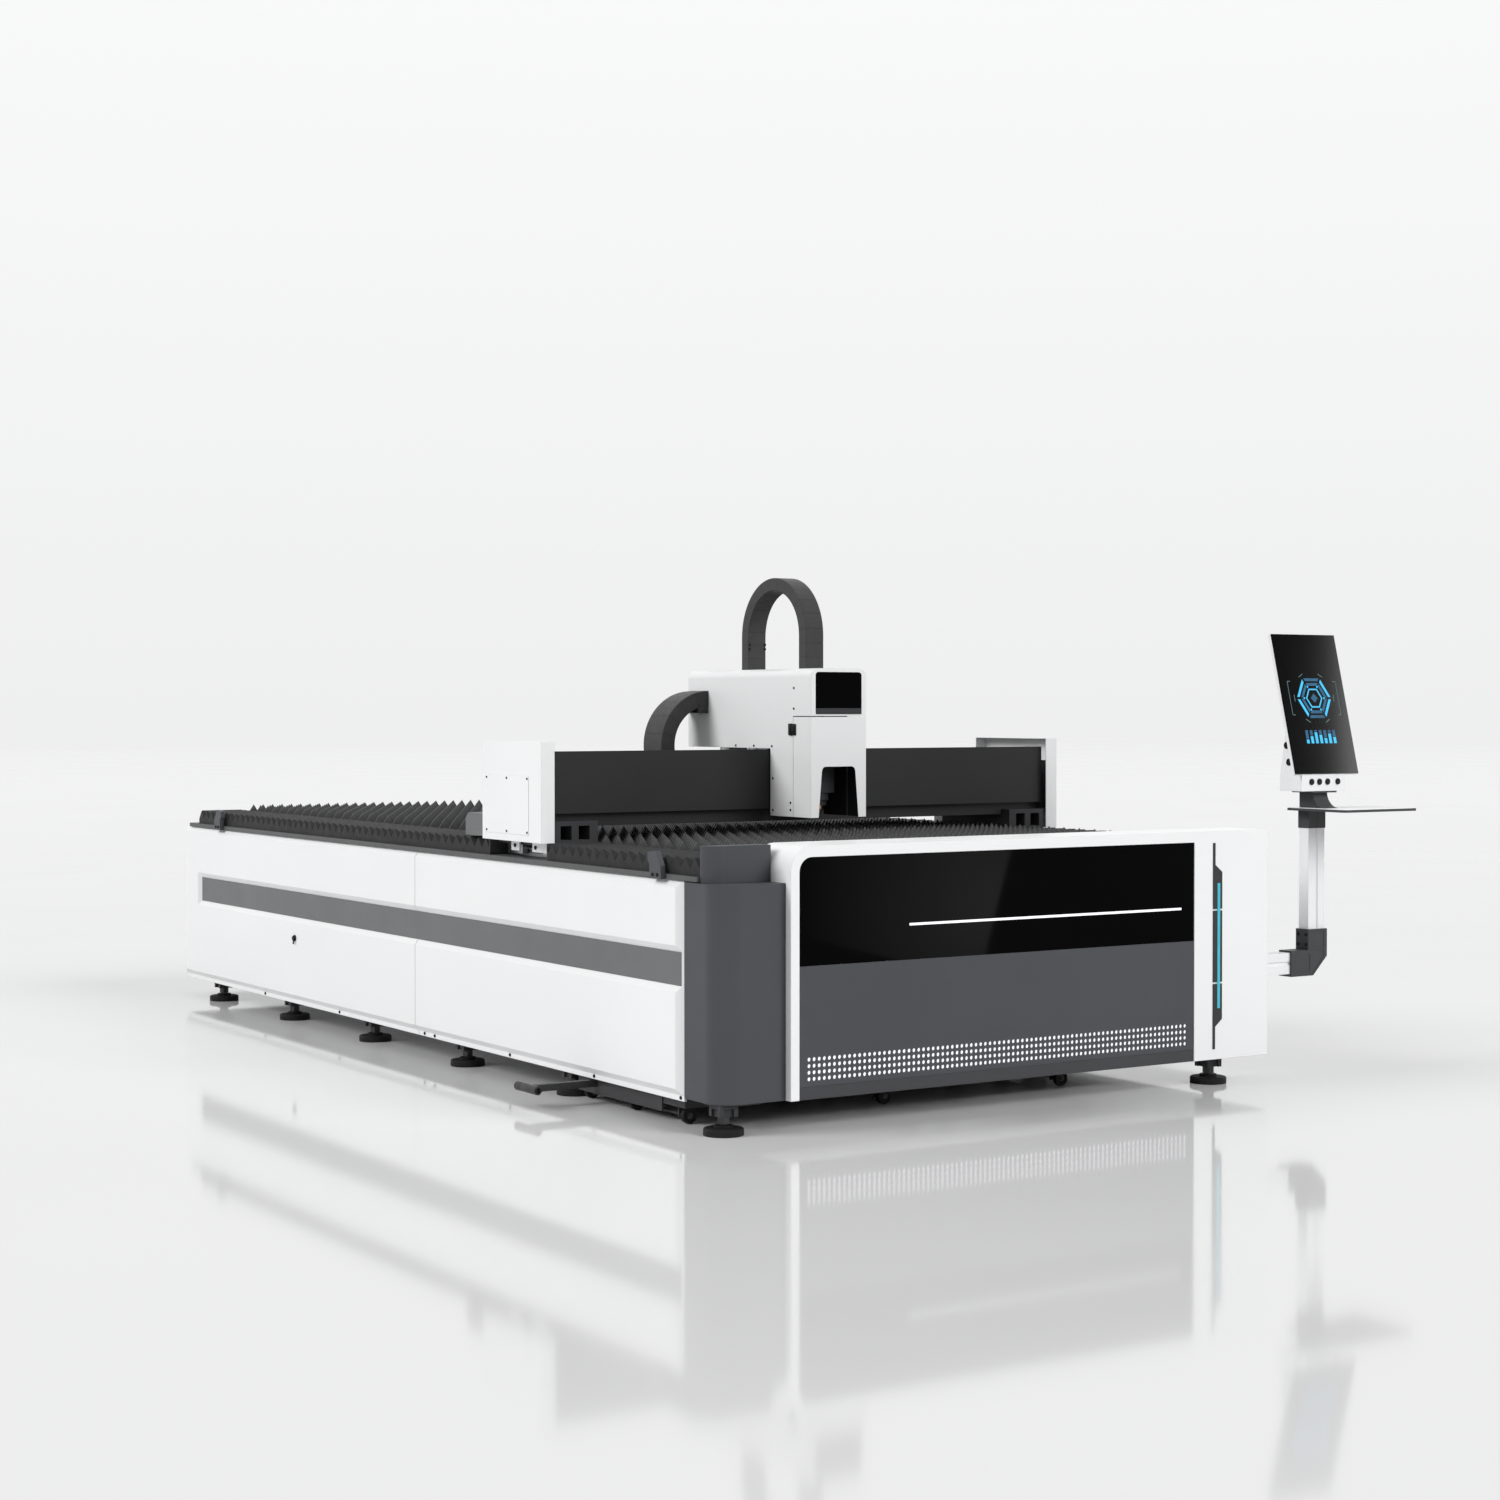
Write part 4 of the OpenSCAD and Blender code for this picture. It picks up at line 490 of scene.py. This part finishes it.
# Stop bolts: distances from the outer ends of the front and rear stops
STOP_BOLTS = (0.022, 0.050)
STOP_BOLT_RISE = 0.012
STOP_BOLT_R = 0.006


def stop_bolts():
    near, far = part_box("stop_brackets")
    ys = [near.y + along for along in STOP_BOLTS] + [far.y - along for along in STOP_BOLTS]
    places = [Vector((near.x, y, near.z + STOP_BOLT_RISE)) for y in ys]
    screws("stop_bolts", "machine", both_sides(places), STOP_BOLT_R)


# Head cover screws: distance behind the cover's front and height over its underside
COVER_SCREWS = ((0.107, 0.451), (0.107, 0.379), (0.487, 0.246), (0.366, 0.246), (0.248, 0.246),
                (0.241, 0.132), (0.241, 0.020), (0.128, 0.049), (0.128, 0.024))
COVER_SCREW_R = 0.0042


def cover_screws():
    near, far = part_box("head_cover")
    places = [Vector((near.x, near.y + along, near.z + rise)) for along, rise in COVER_SCREWS]
    spots = [(place, LEFT) for place in places] + [(Vector((far.x, p.y, p.z)), RIGHT) for p in places]
    screws("cover_screws", "carriage", spots, COVER_SCREW_R)


# Elbow bolts: the width of the elbow's upright part, drops from its top and distance from its middle
ELBOW_W = 0.091
ELBOW_BOLT_DROPS = (0.019, 0.054)
ELBOW_BOLT_SIDE = 0.019
ELBOW_BOLT_R = 0.006


def elbow_bolts():
    near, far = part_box("console_elbow")
    middle = (near.y + far.y) / 2
    spots = [(Vector((far.x - ELBOW_W, middle + side * ELBOW_BOLT_SIDE, far.z - drop)), LEFT)
             for side in (-1, 1) for drop in ELBOW_BOLT_DROPS]
    screws("elbow_bolts", "machine", spots, ELBOW_BOLT_R)


# Drag chains: gap between links, their chamfer and steps, and how far the core lies inside them
LINK_GAP = 0.0006
LINK_EDGE = 0.002
LINK_STEPS = 4
CORE_INSET = 0.0012

# Thickness and link length of each chain, and the length of the side chain's end in the head cover
UPRIGHT_T, UPRIGHT_PITCH = 0.046, 0.048
SIDE_T, SIDE_PITCH = 0.057, 0.060
SIDE_UPPER = 0.014

# Bracket under the side chain's end, and its flange against the head cover
BRACKET_L, BRACKET_H, BRACKET_EDGE = 0.044, 0.023, 0.002
FLANGE_T, FLANGE_OUT, FLANGE_EDGE = 0.006, 0.001, 0.001


class Run:
    """Middle line of a drag chain: a leg, a half ring and a second leg, in the plane of two axes."""

    def __init__(self, centre, across, out, radius, first, second):
        self.centre, self.across, self.out = centre, across, out
        self.radius, self.first = radius, first
        self.turn = math.pi * radius
        self.length = first + self.turn + second

    def at(self, s):
        """Place and outward direction at distance s from the first leg's end."""
        if s <= self.first:
            return self.centre - self.across * self.radius + self.out * (s - self.first), -self.across
        if s >= self.first + self.turn:
            fall = s - self.first - self.turn
            return self.centre + self.across * self.radius - self.out * fall, self.across
        angle = math.pi - (s - self.first) / self.radius
        away = self.across * math.cos(angle) + self.out * math.sin(angle)
        return self.centre + away * self.radius, away


def chain_ring(place, away, wide, half_w, half_t):
    """Chamfered section of a link: half_w along the chain's width, half_t along its thickness."""
    flat_w, flat_t = half_w - LINK_EDGE, half_t - LINK_EDGE
    corners = ((-flat_w, -half_t), (flat_w, -half_t), (half_w, -flat_t), (half_w, flat_t),
               (flat_w, half_t), (-flat_w, half_t), (-half_w, flat_t), (-half_w, -flat_t))
    return [place + wide * a + away * b for a, b in corners]


def chain(name, node, run, wide, width, thick, pitch, body):
    """Closed links along a run, held together by a slightly slimmer core."""
    bm = bmesh.new()
    links = max(round(run.length / pitch), 1)
    step = run.length / links
    for k in range(links):
        start, end = k * step + LINK_GAP / 2, (k + 1) * step - LINK_GAP / 2
        stops = [start + (end - start) * j / LINK_STEPS for j in range(LINK_STEPS + 1)]
        add_loft(bm, [chain_ring(*run.at(s), wide, width / 2, thick / 2) for s in stops])
    core_w, core_t = width / 2 - CORE_INSET, thick / 2 - CORE_INSET
    steps = LINK_STEPS * links
    stops = [run.length * k / steps for k in range(steps + 1)]
    add_loft(bm, [chain_ring(*run.at(s), wide, core_w, core_t) for s in stops])
    made = piece(name, bm, CHAIN, body)
    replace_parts(made, node)


def side_bracket(centre, width, outer):
    """Bracket under the side chain's upper end, against the head cover."""
    bm = bmesh.new()
    top = outer - SIDE_T
    lowest = centre + Vector((-BRACKET_L, -width / 2, top - BRACKET_H))
    highest = centre + Vector((0, width / 2, top + CORE_INSET))
    add_block(bm, lowest, highest, BRACKET_EDGE)
    flange_low = Vector((highest.x - FLANGE_T, lowest.y - FLANGE_OUT, lowest.z - FLANGE_OUT))
    flange_high = Vector((highest.x, highest.y + FLANGE_OUT, highest.z))
    add_block(bm, flange_low, flange_high, FLANGE_EDGE)
    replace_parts(piece("side_chain_bracket", bm, CHAIN, "carriage"), "x_chain")


def drag_chains():
    near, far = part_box("z_chain")
    width, outer = far.x - near.x, (far.y - near.y) / 2
    centre = Vector(((near.x + far.x) / 2, (near.y + far.y) / 2, far.z - outer))
    leg = centre.z - near.z
    upright_run = Run(centre, Y, Z, outer - UPRIGHT_T / 2, leg, leg)
    chain("upright_chain", "z_chain", upright_run, X, width, UPRIGHT_T, UPRIGHT_PITCH, "carriage")
    near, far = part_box("x_chain")
    width, outer = far.y - near.y, (far.z - near.z) / 2
    centre = Vector((near.x + outer, (near.y + far.y) / 2, (near.z + far.z) / 2))
    side_run = Run(centre, Z, LEFT, outer - SIDE_T / 2, far.x - centre.x, SIDE_UPPER)
    chain("side_chain", "x_chain", side_run, Y, width, SIDE_T, SIDE_PITCH, "carriage")
    side_bracket(centre, width, outer)
    near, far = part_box("chain_run")
    middle = (near + far) / 2
    flat_run = Run(Vector((far.x, middle.y, middle.z)), Z, X, 0.0, far.x - near.x, 0.0)
    chain("tray_chain", "chain_run", flat_run, Y, far.y - near.y, far.z - near.z, SIDE_PITCH, "bridge")


# Rivets on the upright chain's rear leg: distance from the chain's middle, heights over its lower end
RIVET_SIDE = 0.033
RIVET_RISES = (0.084, 0.100)
RIVET_R = 0.005


def chain_rivets():
    near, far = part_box("z_chain")
    middle = (near.x + far.x) / 2
    inner = far.y - UPRIGHT_T
    spots = [(Vector((middle + side * RIVET_SIDE, inner, near.z + rise)), FRONT)
             for side in (-1, 1) for rise in RIVET_RISES]
    screws("chain_rivets", "carriage", spots, RIVET_R)


# Bellows: width, folds, skin, and the parts that each stretches in
BELLOWS_W = 0.190
FOLD_L = 0.058
FOLD_D = 0.015
FOLD_FLAT = 0.05
SKIN = 0.003
RIDGE_INSET, VALLEY_INSET = 0.004, 0.017
RIDGE_SHOULDER, VALLEY_SHOULDER = 0.004, 0.020
BELLOWS_PARTS = 14
RIGHT_BELLOWS_GAP = 0.0023


class Bellows:
    """One pleated cover over a rail, from its lowest to its highest y."""

    def __init__(self, x_low, start, end, bottom, ridge):
        self.x_low, self.x_high = x_low, x_low + BELLOWS_W
        self.start, self.bottom, self.ridge = start, bottom, ridge
        self.folds = round((end - start) / FOLD_L)
        self.step = (end - start) / self.folds

    def stations(self):
        shares = (0.0, FOLD_FLAT / 2, 0.5 - FOLD_FLAT / 2, 0.5 + FOLD_FLAT / 2, 1.0 - FOLD_FLAT / 2)
        return [self.start + (k + share) * self.step for k in range(self.folds) for share in shares]

    def section(self, y):
        """Outer and inner outline of the skin at y."""
        phase = (y - self.start) / self.step % 1.0
        wave = 1 - abs(2 * phase - 1)
        up = min(max((wave - FOLD_FLAT) / (1 - 2 * FOLD_FLAT), 0.0), 1.0)
        top = self.ridge - FOLD_D * (1 - up)
        inset = VALLEY_INSET + (RIDGE_INSET - VALLEY_INSET) * up
        shoulder = top - (VALLEY_SHOULDER + (RIDGE_SHOULDER - VALLEY_SHOULDER) * up)
        outer = self.outline(0.0, top, inset, shoulder)
        inner = self.outline(SKIN, top - SKIN, inset, shoulder - SKIN / 2)
        return [Vector((x, y, z)) for x, z in outer + inner[::-1]]

    def outline(self, wall, top, inset, shoulder):
        left, right = self.x_low + wall, self.x_high - wall
        return [(left, self.bottom), (left, shoulder), (left + inset, top), (right - inset, top),
                (right, shoulder), (right, self.bottom)]

    def skin(self, y_from, y_to):
        """Mesh of the stretch between two places."""
        ys = [y_from] + [y for y in self.stations() if y_from < y < y_to] + [y_to]
        bm = bmesh.new()
        add_loft(bm, [self.section(y) for y in ys])
        return bm

    def build(self, name, node, fixed, moving):
        """Parts whose ends lie between the fixed and the moving end, by a smooth share of their distance
        from the fixed end.
        """
        ends = []
        for k in range(BELLOWS_PARTS + 1):
            share = k / BELLOWS_PARTS
            ends.append(fixed + (moving - fixed) * share * share * (3 - 2 * share))
        for k, (near, far) in enumerate(zip(ends, ends[1:])):
            stretch = self.skin(min(near, far), max(near, far))
            made = piece(f"{name}_{k + 1}", stretch, CLOTH, None)
            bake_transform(made)
            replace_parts(made, node)


def bellows():
    near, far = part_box("bellows_front")
    right_start = high("front_frame").y + RIGHT_BELLOWS_GAP
    right_x = far.x - BELLOWS_W
    left = Bellows(near.x, near.y, far.y, near.z, far.z)
    left.build("front_left_bellows", "bellows_front", near.y, far.y)
    right = Bellows(right_x, right_start, far.y, near.z, far.z)
    right.build("front_right_bellows", "bellows_front", right_start, far.y)
    near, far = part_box("bellows_rear")
    for side, x_low in (("left", near.x), ("right", right_x)):
        rear = Bellows(x_low, near.y, far.y, near.z, far.z)
        rear.build(f"rear_{side}_bellows", "bellows_rear", far.y, near.y)


# Apron under the beam's front edge: its sheet and its lip
APRON_T = 0.002
APRON_LIP = 0.014


def beam_apron():
    """Folded dark strip from truck to truck, as deep as the chain tray behind it."""
    tray_low, tray_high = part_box("chain_tray")
    front, top, bottom = low("beam").y, low("beam").z, tray_low.z
    lip, back, lip_top = front + APRON_LIP, front + APRON_T, bottom + APRON_T
    fold = ((front, top), (front, bottom), (lip, bottom), (lip, lip_top), (back, lip_top), (back, top))
    bm = bmesh.new()
    add_loft(bm, [[Vector((x, y, z)) for y, z in fold] for x in (tray_low.x, tray_high.x)])
    piece("beam_apron", bm, CHARCOAL, "bridge")


# Latch on the cover with its lever, and keeper on the door with its hook: corners and rounding
LATCH_LOW, LATCH_HIGH, LATCH_EDGE = (-0.007, 0.113, 0.285), (0.0, 0.136, 0.327), 0.003
LEVER_LOW, LEVER_HIGH, LEVER_EDGE = (-0.010, 0.116, 0.294), (-0.006, 0.131, 0.318), 0.002
KEEPER_LOW, KEEPER_HIGH, KEEPER_EDGE = (-0.006, 0.093, 0.286), (0.0, 0.1105, 0.326), 0.003
HOOK_LOW, HOOK_HIGH, HOOK_EDGE = (-0.009, 0.101, 0.293), (-0.005, 0.1095, 0.319), 0.0015


def door_latch():
    """Latch and keeper, from the door's lower left front corner."""
    door = low("head_door")
    corner = Vector((low("head_cover").x, door.y, door.z))
    bm = bmesh.new()
    add_block(bm, corner + Vector(LATCH_LOW), corner + Vector(LATCH_HIGH), LATCH_EDGE)
    add_block(bm, corner + Vector(LEVER_LOW), corner + Vector(LEVER_HIGH), LEVER_EDGE)
    piece("latch", bm, BLACK, "carriage")
    bm = bmesh.new()
    add_block(bm, corner + Vector(KEEPER_LOW), corner + Vector(KEEPER_HIGH), KEEPER_EDGE)
    add_block(bm, corner + Vector(HOOK_LOW), corner + Vector(HOOK_HIGH), HOOK_EDGE)
    piece("latch_keeper", bm, BLACK, "door")


# Sill: height, depth at its foot and at its top, height of its foot, and how far it sits in
SILL_H = 0.020
SILL_T, SILL_TOP_T = 0.003, 0.0005
SILL_FOOT = 0.003
SILL_IN = 0.001


def window_sill():
    """Sloped grey sill along the head window's lower edge."""
    near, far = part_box("head_window")
    profile = ((SILL_IN, 0.0), (-SILL_T, 0.0), (-SILL_T, SILL_FOOT), (-SILL_TOP_T, SILL_H),
               (SILL_IN, SILL_H))
    rings = []
    for x in (near.x + SILL_IN, far.x - SILL_IN):
        rings.append([Vector((x, near.y + along, near.z + rise)) for along, rise in profile])
    bm = bmesh.new()
    add_loft(bm, rings)
    piece("window_sill", bm, TRIM, "carriage")


# Console ports, on the side of the housing's wedge, which lies inside the slab's left edge: their form,
# and their distances behind the housing's front and over its base
HOUSING_SIDE = 0.0345
PORT_FORM = ((0.0125, -0.001, False), (0.0125, 0.002, False), (0.0115, 0.003, False), (0.009, 0.003, False),
             (0.009, 0.001, False), (0.004, 0.001, False), (0.004, 0.002, False))
PORTS = ((0.0755, 0.161), (0.064, 0.102))
PORT_SIDES = 24


def console_ports():
    """Two round ports on the housing's left side."""
    base = low("console_housing")
    bm = bmesh.new()
    for along, rise in PORTS:
        add_turned(bm, base + Vector((HOUSING_SIDE, along, rise)), LEFT, PORT_FORM, PORT_SIDES)
    piece("console_ports", bm, BLACK, "console")


# Screen: its lean and its glass, and the raised shapes of its graphic
LEAN = math.radians(14)
GLASS_T = 0.004
GRAPHIC_LIFT = 0.0002
GRAPHIC_T = 0.0003


class Display:
    """The screen's face: u to the right and v upwards from the middle of its lower edge."""

    def __init__(self):
        near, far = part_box("screen")
        self.up = Vector((0, math.sin(LEAN), math.cos(LEAN)))
        self.out = Vector((0, -math.cos(LEAN), math.sin(LEAN)))
        foot = Vector(((near.x + far.x) / 2, near.y, near.z + GLASS_T * math.sin(LEAN)))
        self.origin = foot + self.out * GRAPHIC_LIFT

    def add(self, bm, outline):
        """Thin raised shape with that outline."""
        rings = []
        for lift in (0.0, GRAPHIC_T):
            rings.append([self.origin + X * u + self.up * v + self.out * lift for u, v in outline])
        add_loft(bm, rings)


def turned(points, angle, middle):
    """Points turned round the origin and moved to a middle."""
    c, s = math.cos(angle), math.sin(angle)
    return [(middle[0] + u * c - v * s, middle[1] + u * s + v * c) for u, v in points]


def bar(u0, v0, u1, v1):
    return [(u0, v0), (u1, v0), (u1, v1), (u0, v1)]


def side_bar(outer, inner, trim):
    """One side of a hexagon ring, standing over the origin, shortened at both ends."""
    half_outer, half_inner = outer / 2 - trim, inner / 2 - trim
    rise_outer, rise_inner = outer * math.cos(math.pi / 6), inner * math.cos(math.pi / 6)
    return [(-half_inner, rise_inner), (half_inner, rise_inner),
            (half_outer, rise_outer), (-half_outer, rise_outer)]


# Hexagon gauge: outer radius, inner radius and trim of each ring, marks off its corners, and its core
HEX_MIDDLE = (0.0, 0.275)
OUTER_RING, MIDDLE_RING, INNER_RING = (0.084, 0.072, 0.005), (0.064, 0.052, 0.003), (0.040, 0.034, 0.0)
TICK, SPUR = (-0.012, 0.094, 0.012, 0.097), (-0.003, 0.044, 0.003, 0.052)
GAUGE_CORE = (-0.012, -0.012, 0.012, 0.012)

# Level bars, and the gap and the headroom of the dim bar over each
METER_LEVELS = (0.014, 0.026, 0.040, 0.031, 0.019, 0.035, 0.023)
METER_PITCH = 0.022
METER_W = 0.013
METER_BASE = (-0.0725, 0.110)
METER_GAP, METER_HEADROOM = 0.003, 0.008

# Braces on both sides of the gauge: distance from the middle, lower and upper end, arm and line width
BRACE_U = 0.118
BRACE_LOW, BRACE_HIGH = 0.215, 0.335
BRACE_ARM = 0.014
BRACE_LINE = 0.0024


def screen_graphic():
    """Generic display: a hexagon gauge over a row of level bars."""
    display = Display()
    bright, deep, faint = bmesh.new(), bmesh.new(), bmesh.new()
    for k in range(6):
        angle = k * math.pi / 3
        corner = angle + math.pi / 6
        display.add(bright if k % 3 else deep, turned(side_bar(*OUTER_RING), angle, HEX_MIDDLE))
        display.add(deep, turned(side_bar(*MIDDLE_RING), angle, HEX_MIDDLE))
        display.add(bright, turned(side_bar(*INNER_RING), angle, HEX_MIDDLE))
        display.add(faint, turned(bar(*TICK), corner, HEX_MIDDLE))
        display.add(bright, turned(bar(*SPUR), corner, HEX_MIDDLE))
    display.add(deep, turned(bar(*GAUGE_CORE), math.pi / 4, HEX_MIDDLE))
    u, v = METER_BASE
    meter_top = v + max(METER_LEVELS) + METER_HEADROOM
    for level in METER_LEVELS:
        display.add(bright, bar(u, v, u + METER_W, v + level))
        display.add(deep, bar(u, v + level + METER_GAP, u + METER_W, meter_top))
        u += METER_PITCH
    for side in (-1, 1):
        middle = side * BRACE_U
        arm_start, arm_end = sorted((middle, side * (BRACE_U - BRACE_ARM)))
        display.add(faint, bar(middle - BRACE_LINE / 2, BRACE_LOW, middle + BRACE_LINE / 2, BRACE_HIGH))
        for foot in (BRACE_LOW - BRACE_LINE, BRACE_HIGH):
            display.add(faint, bar(arm_start, foot, arm_end, foot + BRACE_LINE))
    piece("graphic_bright", bright, BRIGHT, "console")
    piece("graphic_deep", deep, DEEP, "console")
    piece("graphic_faint", faint, FAINT, "console")


# Studio floor
FLOOR_HALF = 70.0
FLOOR_DROP = 0.0004
FLOOR_COLOUR = (0.74, 0.74, 0.743)
FLOOR_ROUGH, FLOOR_GLOSS = 0.07, 0.3


def make_floor():
    mesh = bpy.data.meshes.new("floor")
    corners = [(-1, -1), (1, -1), (1, 1), (-1, 1)]
    points = [(a * FLOOR_HALF, b * FLOOR_HALF, -FLOOR_DROP) for a, b in corners]
    mesh.from_pydata(points, [], [(0, 1, 2, 3)])
    floor = bpy.data.objects.new("floor", mesh)
    made = Finish("floor", FLOOR_COLOUR, FLOOR_ROUGH, gloss=FLOOR_GLOSS)
    made.mottle(made.noise(0.4), 0.006)
    made.polish(made.noise(0.8), 0.01)
    mesh.materials.append(made.material)
    scene.collection.objects.link(floor)


# Backdrop at the horizon and higher up, the rise between them, its tint, and the fill light
SKY_LOW, SKY_HIGH = 0.865, 0.955
SKY_RISE = 0.28
SKY_TINT = (0.996, 0.998, 1.0, 1.0)
FILL_LIGHT = 0.42


def make_world():
    """Pale backdrop for what is seen, mirrored or seen through, and an even, dimmer fill for the rest."""
    world = bpy.data.worlds.new("studio")
    world.use_nodes = True
    scene.world = world
    tree = world.node_tree
    tree.nodes.clear()
    path = tree.nodes.new("ShaderNodeLightPath")
    seen = path.outputs["Is Camera Ray"]
    for kind in ("Is Glossy Ray", "Is Transmission Ray"):
        either = tree.nodes.new("ShaderNodeMath")
        either.operation = "MAXIMUM"
        tree.links.new(seen, either.inputs[0])
        tree.links.new(path.outputs[kind], either.inputs[1])
        seen = either.outputs["Value"]
    way = tree.nodes.new("ShaderNodeTexCoord")
    axes = tree.nodes.new("ShaderNodeSeparateXYZ")
    rise = tree.nodes.new("ShaderNodeMapRange")
    rise.inputs["From Max"].default_value = SKY_RISE
    rise.inputs["To Min"].default_value = SKY_LOW
    rise.inputs["To Max"].default_value = SKY_HIGH
    backdrop = tree.nodes.new("ShaderNodeBackground")
    fill = tree.nodes.new("ShaderNodeBackground")
    for background in (backdrop, fill):
        background.inputs["Color"].default_value = SKY_TINT
    fill.inputs["Strength"].default_value = FILL_LIGHT
    mix = tree.nodes.new("ShaderNodeMixShader")
    output = tree.nodes.new("ShaderNodeOutputWorld")
    tree.links.new(way.outputs["Generated"], axes.inputs["Vector"])
    tree.links.new(axes.outputs["Z"], rise.inputs["Value"])
    tree.links.new(rise.outputs["Result"], backdrop.inputs["Strength"])
    tree.links.new(seen, mix.inputs["Fac"])
    tree.links.new(fill.outputs["Background"], mix.inputs[1])
    tree.links.new(backdrop.outputs["Background"], mix.inputs[2])
    tree.links.new(mix.outputs["Shader"], output.inputs["Surface"])


# Distant lamps: where each shines from, its strength and its spread in degrees
KEY_LIGHT = ((-8.0, 2.5, 5.45), 2.0, 30.0)
FRONT_LIGHT = ((3.7, -7.65, 5.3), 2.1, 30.0)


def softbox(name, place, strength, spread):
    """Distant soft light that shines from the direction of a place, and that gloss doesn't mirror."""
    data = bpy.data.lights.new(name, "SUN")
    data.energy = strength
    data.angle = math.radians(spread)
    lamp = bpy.data.objects.new(name, data)
    lamp.rotation_euler = Vector(place).to_track_quat("Z", "Y").to_euler()
    lamp.visible_glossy = False
    scene.collection.objects.link(lamp)


# Glare lamps: shares of the glass's width, distance, width, power and beam in degrees
WINDOW_GLARE = ((0.446, 0.51), 3.24, -0.95, 0.02, 9.0)
SCREEN_GLARE = ((0.78, 1.1), 0.9, 0.5, 5.0, 60.0)

# Length of a glare lamp, against the line that it shows on the glass
GLARE_REACH = 1.5


def glare(name, node, lean, shares, distance, width, power, beam):
    """Lamp that one glass node alone mirrors.

    Its edge shows on the glass as a line from a share of the glass's width at the bottom to another
    at the top, and the lamp reaches to the right of it, or to the left where the width is negative.
    """
    near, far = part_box(node)
    normal = Vector((0, -math.cos(lean), math.sin(lean)))
    ends, ways = [], []
    for share, rise in zip(shares, (0.0, far.z - near.z)):
        x = near.x + share * (far.x - near.x)
        place = Vector((x, near.y + rise * math.tan(lean), near.z + rise))
        way = (place - Vector(CAMERA_PLACE)).normalized().reflect(normal)
        ends.append(place + way * distance)
        ways.append(way)
    back = (ways[0] + ways[1]).normalized()
    edge = ends[1] - ends[0]
    up = (edge - back * edge.dot(back)).normalized()
    right = up.cross(back)
    data = bpy.data.lights.new(name, "AREA")
    data.shape = "RECTANGLE"
    data.size, data.size_y = abs(width), edge.length * GLARE_REACH
    data.energy = power
    data.spread = math.radians(beam)
    lamp = bpy.data.objects.new(name, data)
    lamp.location = (ends[0] + ends[1]) / 2 + right * width / 2
    lamp.rotation_euler = Matrix((right, up, back)).transposed().to_euler()
    lamp.visible_camera = False
    scene.collection.objects.link(lamp)
    receivers = bpy.data.collections.new(name + "_receivers")
    receivers.objects.link(nodes[node])
    lamp.light_linking.receiver_collection = receivers


def make_studio():
    make_floor()
    make_world()
    softbox("key", *KEY_LIGHT)
    softbox("front_fill", *FRONT_LIGHT)
    glare("window_glare", "window_panel", 0.0, *WINDOW_GLARE)
    glare("screen_glare", "screen", LEAN, *SCREEN_GLARE)
    scene.view_settings.view_transform = "Standard"


make_camera()
bellows()
drag_chains()
chain_rivets()
beam_apron()
lip_screws()
hatch_screws()
lug_bolts()
stop_bolts()
cover_screws()
elbow_bolts()
door_latch()
window_sill()
console_ports()
screen_graphic()
make_studio()
